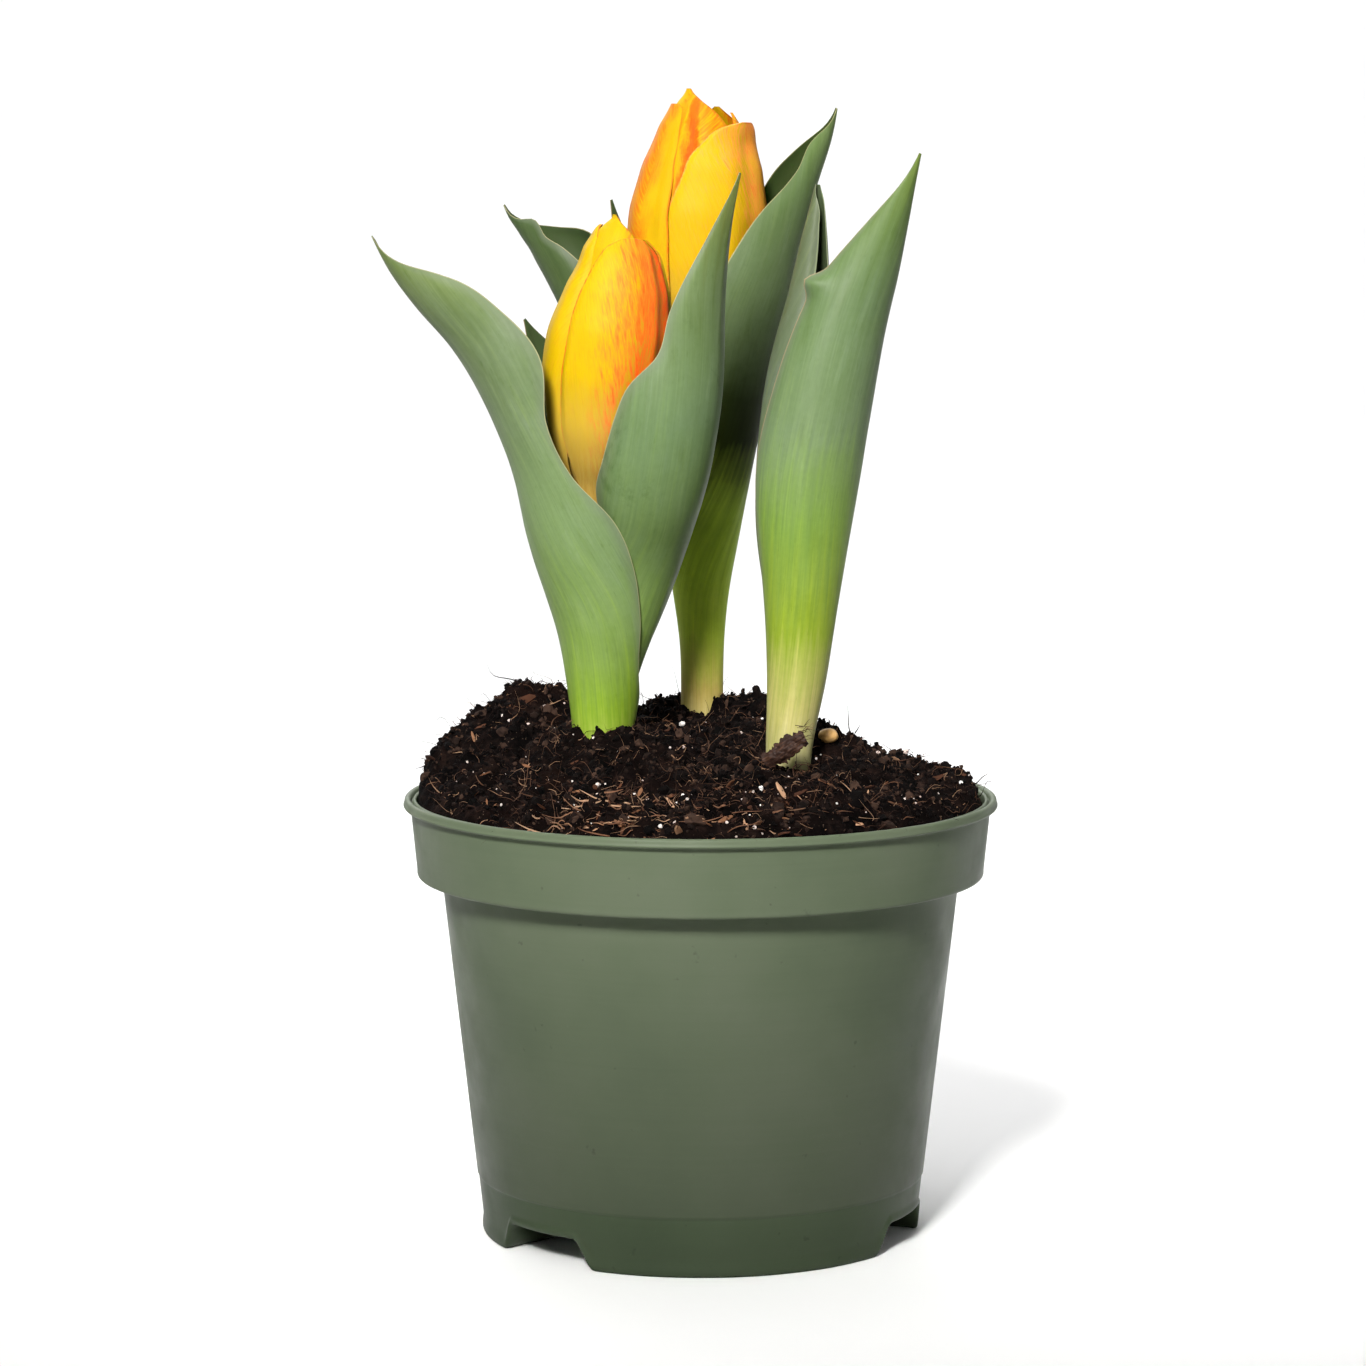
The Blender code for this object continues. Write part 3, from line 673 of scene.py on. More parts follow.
# %% Crumbs and grit
CRUMBS, GRIT = 1300, 6200
CRUMB_STOPS = ((0.0, (0.0008, 0.0007, 0.0007)), (0.5, (0.0042, 0.0028, 0.0024)), (0.8, (0.013, 0.0078, 0.0060)),
               (1.0, (0.042, 0.024, 0.017)))
crumb_paint = toned_paint("peat_crumb", CRUMB_STOPS, 700.0, 0.93, 0.4)
rng = np.random.default_rng(5)


def spread_sizes(rng, count, middle, spread, shape, low, high):
    """Lognormal sizes round a middle size, times a shape, each side varied at random."""
    return rng.lognormal(math.log(middle), spread, (count, 1)) * shape * rng.uniform(low, high, (count, 3))


places = on_soil(rng, CRUMBS)
sizes = spread_sizes(rng, CRUMBS, 0.56, 0.42, 1, 0.5, 1.35)
belongs(scatter_lumps("peat_crumbs", places, sizes, 2, 0.17, rng, crumb_paint))

places = on_soil(rng, GRIT, lift=0.2)
sizes = spread_sizes(rng, GRIT, 0.30, 0.4, 1, 0.4, 1.6)
belongs(scatter_lumps("peat_grit", places, sizes, 1, 0.2, rng, crumb_paint, sharp=20))
print("crumbs:", CRUMBS, "grit:", GRIT)

# %% [markdown]
# Fine roots lie over the whole bed and thickest behind the front of the rim, mostly flat. Pale splinters
# of bark and straw are stiffer and wider, and gather behind the front of the rim, left of its middle.

# %% Fine roots
LONGEST_THREAD = 7.0
ROOT_STOPS = ((0.0, (0.006, 0.003, 0.0025)), (0.45, (0.024, 0.0115, 0.0078)), (0.8, (0.105, 0.052, 0.030)),
              (1.0, (0.330, 0.200, 0.120)))
root_paint = toned_paint("fine_root", ROOT_STOPS, 500.0, 0.8, 0.05)
places = np.concatenate([on_soil(rng, 2600, lift=0.25), near_front(rng, 500)])
count = len(places)
heading = unit(rng.normal(size=(count, 3)) * (1, 1, 0.42))
heading[:, 2] = np.abs(heading[:, 2]) * rng.choice([0.8, 0.2, -0.3], count)
lengths, widths = rng.lognormal(math.log(2.2), 0.5, count), rng.lognormal(math.log(0.078), 0.4, count)
lengths = np.minimum(lengths, LONGEST_THREAD)
belongs(scatter_threads("fine_roots", places, unit(heading), lengths, widths, rng, root_paint))
print("roots:", count)

# %% Straw splinters
STRAW_STOPS = ((0.0, (0.120, 0.052, 0.030)), (0.5, (0.260, 0.135, 0.075)), (1.0, (0.420, 0.260, 0.160)))
straw_paint = toned_paint("straw_splinter", STRAW_STOPS, 600.0, 0.75, 0.05)
turn = np.concatenate([rng.normal(-27, 6.0, 26), rng.normal(-4, 16.0, 34)])
count = len(turn)
radius = rng.uniform(49, 56.0, count)
x, y = radius * np.sin(np.radians(turn)), -radius * np.cos(np.radians(turn))
places = np.stack([x, y, soil_height(x, y) + 0.45], -1)
heading = unit(np.stack([rng.choice([-1, 1], count), rng.normal(0, 0.45, count), rng.normal(0.05, 0.16, count)], -1))
lengths = np.minimum(rng.lognormal(math.log(2.8), 0.45, count), LONGEST_THREAD)
widths = rng.uniform(0.10, 0.24, count)
straw = scatter_threads("straw_splinters", places, heading, lengths, widths, rng, straw_paint, bend=0.18)
belongs(straw)
print("splinters:", count)

# %% [markdown]
# Bark flakes are lumps squeezed thin that lie nearly flat. Perlite is heated volcanic glass: small round
# grains, almost white, that catch the eye, so there are only a few.

# %% Bark flakes and perlite
FLAKE_SHAPE = (1.9, 0.5, 0.24)
BARK_STOPS = ((0.0, (0.020, 0.009, 0.006)), (0.45, (0.075, 0.030, 0.016)), (0.8, (0.190, 0.088, 0.044)),
              (1.0, (0.420, 0.250, 0.150)))
PERLITE_STOPS = ((0.0, (0.480, 0.360, 0.320)), (0.5, (0.720, 0.620, 0.580)), (1.0, (0.860, 0.830, 0.800)))

places = np.concatenate([on_soil(rng, 90, lift=0.2), near_front(rng, 110) + (0, 0, 0.2)])
sizes = spread_sizes(rng, len(places), 0.52, 0.42, FLAKE_SHAPE, 0.75, 1.3)
bark_paint = toned_paint("bark_flake", BARK_STOPS, 420.0, 0.75, 0.2)
belongs(scatter_lumps("bark_flakes", places, sizes, 2, 0.14, rng, bark_paint, tilt=0.5))

places = np.concatenate([on_soil(rng, 170, lift=0.15), near_front(rng, 40) + (0, 0, 0.15)])
sizes = spread_sizes(rng, len(places), 0.22, 0.5, 1, 0.7, 1.3)
perlite_paint = toned_paint("perlite", PERLITE_STOPS, 800.0, 0.7, 0.1)
belongs(scatter_lumps("perlite_grains", places, sizes, 1, 0.12, rng, perlite_paint))
print("perlite grains:", len(places))

# %% [markdown]
# ## Leaves
#
# A tulip leaf is a long blade that wraps the stem at its foot and opens into a channel. A flat leaf bent
# by a curve would not close round the stem, so the blade is lofted through sections. Each row gives one:
# the middle of its curl (x, y, z), the curl's radius, the way its inner face looks, and how far it
# reaches round the curl to the left and right, in degrees. A smooth curve is drawn through the rows.

# %% A smooth curve through rows


def read_rows(rows, reached, wanted):
    """The values of the curve at the wanted places, when each row stands at its place in reached."""
    slope = np.gradient(rows, reached, axis=0)
    low = np.clip(np.searchsorted(reached, wanted, side="right") - 1, 0, len(rows) - 2)
    span = (reached[low + 1] - reached[low])[:, None]
    t = (wanted - reached[low])[:, None] / span
    start = (1 + 2 * t) * (1 - t) ** 2 * rows[low] + t * (1 - t) ** 2 * span * slope[low]
    end = t * t * (3 - 2 * t) * rows[low + 1] + t * t * (t - 1) * span * slope[low + 1]
    return start + end


def smooth_rows(rows, count):
    """The rows read at even steps along the curve; x, y and z come first in a row."""
    rows = np.array(rows, float)
    steps = np.linalg.norm(np.diff(rows[:, :3], axis=0), axis=1)
    reached = np.concatenate([[0.0], np.cumsum(steps)])
    return read_rows(rows, reached, np.linspace(0.0, reached[-1], count))


print("half way between two rows:", smooth_rows([(0, 0, 0, 5), (0, 0, 10, 7)], 3)[1])

# %% Sections as a grid of points


def section_grid(line, angles, depth, push):
    """Points of every section at the given angles, under the outer face by depth, moved out by push."""
    axis, radius = line[:, :3], line[:, 3:4] - depth + push
    facing = np.radians(line[:, 4])
    tangent = unit(np.gradient(axis, axis=0))
    face = np.c_[np.sin(facing), np.cos(facing), 0 * facing]
    face = unit(face - (face * tangent).sum(1)[:, None] * tangent)
    side = np.cross(face, tangent)
    inward = face[:, None] * (radius * np.cos(angles))[..., None]
    sideways = side[:, None] * (radius * np.sin(angles))[..., None]
    return axis[:, None] - inward + sideways


two = np.array([[0, 0, 0, 5.0, 0], [0, 0, 10, 5.0, 0]])
print("two sections of three points:", section_grid(two, np.radians([[-90, 0, 90]] * 2), 0, 0).shape)

# %% [markdown]
# A leaf is thickest in its middle and paper-thin at its edges. A solidify modifier gives one thickness
# all over, so the inner face is a second grid under the first, and narrow strips join the two. The same
# sheet serves for leaves, petals and the scrap of bulb skin. Each point also keeps where it is: along,
# across, near an edge, on the inside, and how high, so that the paint can follow the blade.

# %% Faces of a closed sheet


def sheet_faces(steps, across):
    one = steps * across
    faces = [grid_faces(steps, across), grid_faces(steps, across, start=one, flip=True)]
    i, j = np.arange(steps - 1) * across, np.arange(across - 1)
    for first in (0, across - 1):
        strip = np.stack([i + first, i + across + first, i + across + first + one, i + first + one], -1)
        faces.append(strip if first == 0 else strip[:, ::-1])
    for row in (0, (steps - 1) * across):
        strip = np.stack([row + j, row + j + 1, row + j + 1 + one, row + j + one], -1)
        faces.append(strip[:, ::-1] if row == 0 else strip)
    return np.concatenate(faces)


print("faces of a sheet of 10 by 5 points:", len(sheet_faces(10, 5)))

# %% A closed sheet with its numbers


def sheet_object(name, line, angles, thickness, push, paint, more=None):
    outer = section_grid(line, angles, 0 * angles, push)
    inner = section_grid(line, angles, thickness, push)
    gone = np.concatenate([[0], np.cumsum(np.linalg.norm(np.diff(line[:, :3], axis=0), axis=1))])
    numbers = {"along": gone[:, None] + 0 * angles, "across": angles * line[:, 3:4], "height": outer[..., 2],
               **(more or {})}
    numbers = {label: np.concatenate([values.ravel(), values.ravel()]) for label, values in numbers.items()}
    numbers["inside"] = np.repeat([0.0, 1.0], angles.size)
    points = np.concatenate([outer.reshape(-1, 3), inner.reshape(-1, 3)])
    return mesh_object(name, points, sheet_faces(*angles.shape), numbers, paint, sharp=70)


# %% The line and the width of a leaf
LEAF_STEPS, LEAF_ACROSS = 128, 34
LEAF_TIP, LEAF_WAVE = 0.7, 0.08
EASING_STEPS = 19


def eased(values):
    """Values drawn gently along the blade, so that no bend in the rows shows as a crease."""
    window = np.hanning(EASING_STEPS) / np.hanning(EASING_STEPS).sum()
    return np.convolve(np.pad(values, EASING_STEPS // 2, mode="reflect", reflect_type="odd"), window, "valid")


def leaf_line(rows):
    line = smooth_rows([*rows[:-1], (*rows[-1][:3], LEAF_TIP, *rows[-1][4:])], LEAF_STEPS)
    for column in (0, 1, 3, 4):
        line[:, column] = eased(line[:, column])
    return line


def crowded(count, part):
    """Steps from -1 to 1 that lie closer together near both ends, where an edge needs them."""
    return np.sin(np.linspace(-1, 1, count) * math.pi / 2 * part) / math.sin(math.pi / 2 * part)


print("steps across, closer at the edges:", crowded(5, 0.93).round(2))

# %% Small bends of a leaf's surface
# Where an edge flares out: side, height, reach in height, millimetres out, and where it starts across
FLARES = {"leaf_c_front": [(-1, 189.7, 1.9, 2.9, 0.6)]}


def leaf_push(name, line, arc, edge, spread, reach, keel, seed):
    """How far each point stands out: soft lumps, thin turned-in edges, flares and the fold of the keel."""
    along = np.linspace(0, 1, LEAF_STEPS)[:, None] * 14
    push = 0.13 * (lumps(np.stack([arc * 0.25, along + 0 * arc, 0 * arc + seed], -1), 1.0) - 0.5)
    push = push * reach[:, None] - 0.25 * reach[:, None] * smoothstep(0.8, 1.0, edge)
    for side, middle, reach_mm, out, start in FLARES.get(name, []):
        near = np.exp(-(((line[:, 2:3] - middle) / reach_mm) ** 2))
        push = push + out * near * smoothstep(start, 1.0, side * spread)[None]
    if keel:
        push = push + keel * (np.exp(-np.abs(arc) / 0.55) - 0.25 * np.exp(-(((arc - 1.5) / 0.8) ** 2)))
    return push


print("leaves with a flared edge:", list(FLARES))

# %% A leaf


def make_leaf(name, rows, paint, keel, seed):
    line = leaf_line(rows)
    part = np.linspace(0, 1, LEAF_STEPS)
    reach = smoothstep(0.25, 0.55, part) * smoothstep(1.0, 0.85, part)
    shake = [LEAF_WAVE * reach * (lumps(np.c_[part * 9 + seed, 0 * part, 0 * part + k], 1.0) - 0.5) for k in (0, 7)]
    left, right = np.radians(line[:, 5]) + shake[0], np.radians(line[:, 6]) + shake[1]
    spread = crowded(LEAF_ACROSS, 0.93)
    angles = np.where(spread < 0, left[:, None] * spread, right[:, None] * spread)
    edge = np.abs(spread)[None] + 0 * angles
    thick = np.minimum(0.16 + 0.44 * (1 - edge**2.2), 0.38 * line[:, 3:4])
    push = leaf_push(name, line, angles * line[:, 3:4], edge, spread, reach, keel, seed)
    return sheet_object(name.replace("leaf", "blade"), line, angles, thick, push, paint, {"edge": edge})


print("points in a leaf:", 2 * LEAF_STEPS * LEAF_ACROSS)

# %% [markdown]
# ### The green of a leaf
#
# A leaf runs from its pale foot to its tip, so each has its own list of colours by height. Over that lie
# long parallel veins drawn in the blade's own directions, a cloudy waxy bloom, scuffs, fine grain and a
# thin pale or rosy line at the very edge. One green noise all over would look painted on; these layers
# only multiply the colour under them, so dark places stay dark.

# %% Layers that run along a leaf
VEIN_DARK, VEIN_LIGHT = (0.62, 0.70, 0.54), (1.6, 1.55, 0.9)
FINE_DARK, FINE_LIGHT = (0.62, 0.70, 0.55), (1.6, 1.5, 1.3)
WAX, SCUFF, GRAIN, MOTTLE_DARK = (1.7, 1.5, 2.6), (0.52, 0.60, 0.36), (0.55, 0.60, 0.50), (0.70, 0.74, 0.50)
MOTTLE_LIGHT, PATCH, MARGIN = (1.30, 1.22, 1.55), (0.42, 0.52, 0.34), (0.125, 0.140, 0.110)
ROSY, STRAW = (0.36, 0.22, 0.13), (0.38, 0.33, 0.17)


def lengthwise(paint, across, along, shift=0.0, **more):
    """Noise drawn out along the blade; across and along are its lumps per millimetre."""
    place = paint.where(paint.times(paint.number("across"), across), paint.times(paint.number("along"), along), shift)
    return paint.noise(1.0, place=place, **more)


def leaf_layers(paint, colour, veins, fine, cloud):
    colour = paint.shade(paint.range(veins, 0.40, 0.64, 0.0, 0.26), colour, VEIN_DARK)
    colour = paint.shade(paint.range(veins, 0.40, 0.25, 0.0, 0.30), colour, VEIN_LIGHT)
    colour = paint.shade(paint.range(fine, 0.50, 0.75, 0.0, 0.20), colour, FINE_LIGHT)
    colour = paint.shade(paint.range(fine, 0.46, 0.28, 0.0, 0.25), colour, FINE_DARK)
    colour = paint.shade(paint.range(cloud, 0.45, 0.70, 0.0, 0.15), colour, WAX)
    scuffs = lengthwise(paint, 1.3, 0.22, 8.0, detail=4.0, rough=0.7)
    colour = paint.shade(paint.range(scuffs, 0.60, 0.72, 0.0, 0.45), colour, SCUFF)
    colour = paint.shade(paint.range(paint.noise(900.0, 3.0), 0.35, 0.7, 0.0, 0.14), colour, GRAIN)
    mottle = lengthwise(paint, 0.30, 0.045, 4.0, detail=4.0, rough=0.7, twist=0.4)
    colour = paint.shade(paint.range(mottle, 0.46, 0.30, 0.0, 0.5), colour, MOTTLE_DARK)
    return paint.shade(paint.range(mottle, 0.54, 0.72, 0.0, 0.5), colour, MOTTLE_LIGHT)


# %% Paint of a leaf


def leaf_paint(name, stops, inner, edge_colour, edge_width=0.016, dark=0.0, shine=0.14, pale_edge=0.42,
               streaky=22.0):
    """stops are (height in millimetres, colour) on the outer face; inner is the inner face's colour."""
    paint = Paint(name, Specular_IOR_Level=shine, Subsurface_Weight=0.06, Subsurface_Radius=(0.6, 1.0, 0.25),
                  Subsurface_Scale=0.0012)
    veins, fine = lengthwise(paint, 0.9, 0.030, detail=4.0), lengthwise(paint, 3.6, 0.07, 3.0)
    cloud = paint.noise(75.0, 5.0, rough=0.62)
    height = paint.plus(paint.plus(paint.number("height"), paint.swing(veins, streaky)), paint.swing(cloud, 9.0))
    low, high = stops[0][0], stops[-1][0]
    colour = paint.ramp(paint.range(height, low, high), *[((at - low) / (high - low), shade) for at, shade in stops])
    colour = leaf_layers(paint, colour, veins, fine, cloud)
    edge = paint.number("edge")
    margin = paint.range(paint.plus(edge, paint.swing(cloud, 0.12)), 0.84, 0.99, 0.0, pale_edge)
    colour = paint.mix(margin, colour, MARGIN)
    if dark:
        patch = paint.range(paint.noise(60.0, 6.0, rough=0.75, twist=0.6), 0.58, 0.68, 0.0, dark)
        colour = paint.shade(patch, colour, PATCH)
    colour = paint.mix(paint.times(paint.number("inside"), 0.85), colour, inner)
    rim = paint.range(edge, 1.0 - edge_width, 1.0 - edge_width * 0.35, 0.0, 0.5)
    paint.set("Base Color", paint.mix(rim, colour, edge_colour))
    paint.set("Roughness", paint.range(cloud, 0.3, 0.7, 0.42, 0.58))
    paint.bump(veins, 0.05, 0.25)
    paint.bump(fine, 0.03, 0.25)
    return paint.material


def make_leaves(all_rows, all_looks):
    for name, rows in all_rows.items():
        look = dict(all_looks[name])
        keel, seed = look.pop("keel", 0.0), look.pop("seed")
        belongs(make_leaf(name, rows, leaf_paint(f"{name}_green", **look), keel, seed), name)
        print(name, "goes up to", round(max(row[2] for row in rows)), "mm")


# %% [markdown]
# ### Leaves of the first plant
#
# Two broad leaves of the first plant stand on both sides of its flower, and a small one behind. The
# left leaf bends far out, so its rows turn and narrow towards the tip. Both are green with a waxy bloom,
# nearly yellow where they leave the peat.

# %% Rows of the first plant's leaves
LEAVES_A = {
    "leaf_a_left": (
        (-19.5, -12, 85, 5.9, 20, 150, 150), (-19.5, -12, 103, 6, 20, 140, 140),
        (-19.1, -11, 115, 8, 24, 112, 82), (-19, -10, 126, 10.2, 30, 100, 76),
        (-20.4, -9.8, 135, 11.5, 40, 92, 80), (-23.2, -11, 146, 12, 52, 88, 81),
        (-25.2, -12, 156.5, 12, 66, 88, 64), (-28.5, -13, 167, 12.3, 74, 85, 65),
        (-33.6, -14, 178, 12.3, 76, 82, 88), (-41.3, -15, 187, 10.7, 76, 76, 88),
        (-51, -17, 194, 8.2, 76, 66, 86), (-59, -19, 199, 4.4, 76, 50, 62),
        (-63.8, -21, 202.2, 1.2, 76, 24, 24),
    ),
    "leaf_a_right": (
        (-19.5, -12, 85, 4.75, -110, 150, 150), (-19.5, -12, 103, 4.75, -100, 140, 140),
        (-18, -11.3, 116, 5.6, -85, 90, 115), (-15, -10, 127, 7, -70, 75, 110),
        (-12.8, -9, 135, 8, -66, 76, 100), (-11.2, -11.3, 146, 10.2, -62, 115, 95),
        (-10.6, -13.6, 151.5, 11.2, -60, 133, 90), (-9.6, -14.8, 157, 11.7, -60, 122, 86),
        (-8.4, -15.9, 165, 11.8, -60, 110, 80), (-7.2, -16.3, 171, 11.5, -60, 100, 76),
        (-6, -16.3, 178, 10.8, -60, 76, 72), (-3.6, -18, 189, 8.6, -60, 74, 66),
        (0.4, -20, 200, 5.3, -60, 64, 56), (4.4, -21.5, 208.5, 2.4, -60, 50, 40),
        (7, -22, 214.3, 1.2, -60, 24, 24),
    ),
    "leaf_a_small": (
        (-19.5, -12, 85, 3.6, 190, 140, 140), (-19.5, -11.8, 105, 3.6, 188, 128, 128),
        (-19.4, -11, 116, 4.1, 182, 110, 110), (-19.3, -9.5, 127, 5, 178, 92, 92),
        (-19.5, -7.5, 137, 6.2, 174, 78, 78), (-20.6, -4.5, 150, 8.6, 164, 62, 62),
        (-25, -1, 168, 8, 150, 56, 56), (-31, 0, 179, 4.5, 150, 44, 44),
        (-35, 0, 185, 1.2, 150, 24, 24),
    ),
}
print("rows in each leaf:", {name: len(rows) for name, rows in LEAVES_A.items()})

# %% Colours of the first plant's leaves
LOOKS_A = {
    "leaf_a_left": dict(
        stops=((98, (0.24, 0.31, 0.045)), (108, (0.155, 0.25, 0.017)), (122, (0.124, 0.195, 0.042)),
               (145, (0.124, 0.184, 0.074)), (165, (0.113, 0.16, 0.071)), (185, (0.098, 0.137, 0.058)),
               (202, (0.11, 0.15, 0.04))),
        inner=(0.055, 0.082, 0.032), edge_colour=STRAW, seed=1.3,
    ),
    "leaf_a_right": dict(
        stops=((98, (0.17, 0.21, 0.035)), (112, (0.128, 0.205, 0.032)), (135, (0.091, 0.142, 0.038)),
               (165, (0.091, 0.14, 0.06)), (195, (0.088, 0.128, 0.045)), (214, (0.096, 0.11, 0.024))),
        inner=(0.075, 0.117, 0.042), edge_colour=STRAW, keel=0.25, dark=0.5, seed=4.1,
    ),
    "leaf_a_small": dict(
        stops=((98, (0.26, 0.28, 0.1)), (130, (0.104, 0.156, 0.052)), (185, (0.052, 0.078, 0.026))),
        inner=(0.036, 0.057, 0.021), edge_colour=ROSY, keel=0.1, seed=2.2,
    ),
}
make_leaves(LEAVES_A, LOOKS_A)

# %% [markdown]
# ### Leaves of the second plant
#
# The second plant stands behind. Its right leaf is tall and folded along its keel. Its green holds painted
# light and shade: lighter low down, and nearly black-green in its middle as painted shade of the front
# leaves. The left one bends outwards, and a small one shows only its tip.

# %% Rows of the second plant's leaves
LEAVES_B = {
    "leaf_b_right": (
        (0.4, 25, 85, 4.5, -10, 150, 150), (0.4, 25, 104, 4.4, -10, 145, 145),
        (0.4, 25, 118, 4.6, -10, 135, 135), (0.1, 25, 129, 6, -14, 112, 120),
        (0.4, 24.5, 138, 7.4, -36, 90, 100), (1, 24.5, 148, 8.6, -60, 96, 86),
        (1.8, 24, 159, 10, -72, 98, 80), (2.5, 24, 174, 12.4, -76, 90, 80),
        (3.6, 24, 186, 13.6, -76, 88, 82), (7.6, 24, 197, 12.6, -84, 92, 84),
        (13.6, 23.5, 206.5, 9, -94, 100, 98), (19.3, 23, 215, 5.6, -100, 96, 102),
        (24.2, 22.5, 221.7, 2.9, -100, 104, 82), (27, 22, 227.2, 1.2, -100, 24, 24),
    ),
    "leaf_b_left": (
        (0.4, 25, 85, 3.4, 100, 140, 140), (0.4, 25, 112, 3.4, 98, 110, 120),
        (0.2, 25.1, 124, 3.7, 90, 66, 110), (-0.3, 25.3, 132, 4.3, 84, 58, 90),
        (-1.5, 25.5, 139, 5.3, 80, 62, 80), (-4.6, 26.4, 149, 7, 78, 74, 68),
        (-8.3, 27.4, 159, 7.8, 79, 84, 76), (-13.2, 28.3, 170, 8, 84, 102, 98),
        (-19.2, 29, 182.5, 7.5, 94, 116, 112), (-24.3, 30.2, 193, 7.2, 104, 140, 112),
        (-27.2, 31, 198, 7.1, 104, 138, 102), (-30.6, 31.6, 201.3, 6.4, 104, 92, 98),
        (-35.2, 31.8, 204, 3.7, 104, 54, 124), (-38.6, 31.8, 206, 1.9, 104, 36, 70),
        (-40, 31.5, 207.6, 1.2, 104, 24, 24),
    ),
    "leaf_b_small": (
        (0.4, 25, 122, 2.75, 180, 100, 100), (0.4, 25.9, 130, 2.9, 178, 82, 74),
        (0.2, 28.3, 138, 4.2, 176, 70, 58), (-3.5, 34, 152, 6.5, 166, 54, 54),
        (-8.5, 41, 175, 7.5, 160, 50, 50), (-14, 42, 195, 4.5, 155, 44, 44),
        (-18.2, 42, 208.2, 1.2, 150, 24, 24),
    ),
}
print("rows in each leaf:", {name: len(rows) for name, rows in LEAVES_B.items()})

# %% Colours of the second plant's leaves
LOOKS_B = {
    # Painted light and shade: from 119 to 145 mm the green is painted lighter, and from 153 to 178 mm nearly
    # black-green as painted shade of the front leaves
    "leaf_b_right": dict(
        stops=((97, (0.44, 0.38, 0.18)), (107, (0.42, 0.33, 0.085)), (119, (0.4, 0.53, 0.045)),
               (133, (0.33, 0.47, 0.036)), (145, (0.22, 0.315, 0.028)), (153, (0.06, 0.086, 0.008)),
               (160, (0.009, 0.014, 0.001)), (168, (0.01, 0.016, 0.003)), (178, (0.036, 0.054, 0.02)),
               (190, (0.068, 0.1, 0.04)), (212, (0.088, 0.132, 0.05)), (227, (0.1, 0.15, 0.042))),
        inner=(0.019, 0.028, 0.007), edge_colour=STRAW, keel=0.4, shine=0.05, pale_edge=0.12, streaky=10.0, seed=6.4,
    ),
    "leaf_b_left": dict(
        stops=((98, (0.24, 0.24, 0.09)), (130, (0.085, 0.12, 0.026)), (165, (0.042, 0.064, 0.022)),
               (208, (0.048, 0.076, 0.026))),
        inner=(0.031, 0.049, 0.016), edge_colour=STRAW, keel=0.2, seed=8.7,
    ),
    "leaf_b_small": dict(
        stops=((110, (0.2, 0.26, 0.1)), (150, (0.083, 0.125, 0.042)), (208, (0.042, 0.062, 0.021))),
        inner=(0.031, 0.047, 0.016), edge_colour=ROSY, keel=0.1, seed=9.2,
    ),
}
make_leaves(LEAVES_B, LOOKS_B)

# %% [markdown]
# ### Leaves of the third plant
#
# The third plant has no flower yet. Its front leaf is wrapped like a quill, cream at the foot, with a
# small flare on its left edge. The back leaf is rolled almost shut and opens to the right.

# %% Rows of the third plant's leaves
LEAVES_C = {
    "leaf_c_front": (
        (17.4, -14, 85, 4.4, -20, 150, 150), (17.4, -14, 99, 4.5, -20, 140, 140),
        (19.1, -14, 115, 6, -20, 120, 120), (19.7, -14, 126, 7, -20, 112, 112),
        (20.1, -14, 137, 8.4, -20, 105, 105), (20.4, -14, 148, 10, -20, 100, 95),
        (21.1, -14, 158, 10.9, -22, 94, 90), (23, -14, 168, 10.6, -24, 90, 86),
        (25.3, -14, 178, 10, -26, 88, 82), (28.4, -14, 188, 8.8, -28, 88, 78),
        (32.4, -14, 197, 7.1, -30, 78, 70), (36.8, -14, 206, 4.4, -32, 64, 60),
        (40.4, -14, 213.2, 2.2, -34, 40, 36), (42.6, -14, 217.9, 1.2, -34, 24, 24),
    ),
    "leaf_c_back": (
        (17.4, -14, 85, 3.4, 165, 150, 150), (17.6, -14, 105, 3.5, 165, 140, 140),
        (18.4, -11.5, 125, 5, 165, 105, 105), (18.6, -8, 145, 7.8, 162, 92, 94),
        (19.2, -6, 160, 7.9, 156, 96, 100), (20.2, -5, 175, 6.9, 148, 108, 118),
        (21.6, -4.5, 188, 4.7, 140, 128, 138), (22.25, -4.5, 197, 3.2, 136, 146, 150),
        (22.75, -4.5, 203, 2.4, 135, 150, 152), (23.1, -4.5, 207.5, 1.5, 135, 140, 145),
        (23.45, -4.5, 211.6, 0.9, 135, 60, 60),
    ),
}
print("rows in each leaf:", {name: len(rows) for name, rows in LEAVES_C.items()})

# %% Colours of the third plant's leaves
LOOKS_C = {
    "leaf_c_front": dict(
        stops=((96, (0.38, 0.355, 0.175)), (108, (0.355, 0.33, 0.105)), (124, (0.168, 0.235, 0.016)),
               (145, (0.13, 0.21, 0.038)), (165, (0.102, 0.149, 0.066)), (190, (0.084, 0.129, 0.052)),
               (208, (0.08, 0.125, 0.033)), (218, (0.092, 0.13, 0.024))),
        inner=(0.062, 0.088, 0.036), edge_colour=ROSY, edge_width=0.03, keel=0.12, seed=11.9,
    ),
    "leaf_c_back": dict(
        stops=((98, (0.31, 0.31, 0.13)), (140, (0.104, 0.146, 0.052)), (172, (0.078, 0.103, 0.06)),
               (212, (0.082, 0.102, 0.052))),
        inner=(0.03, 0.044, 0.018), edge_colour=(0.24, 0.28, 0.15), edge_width=0.05, keel=0.3, seed=14.0,
    ),
}
make_leaves(LEAVES_C, LOOKS_C)

# %% [markdown]
# ## Flowers
#
# Each bud is closed: three outer petals stand round three inner ones and lean over them at the top. A
# cup turned round an axis would have no overlaps, and six flat petals bent together would cut through
# each other. So each petal is a sheet on the flower's own egg-shaped swell. A row says how far up it is,
# how far inside the swell, and the directions of its two edges, in degrees from the front to the right.

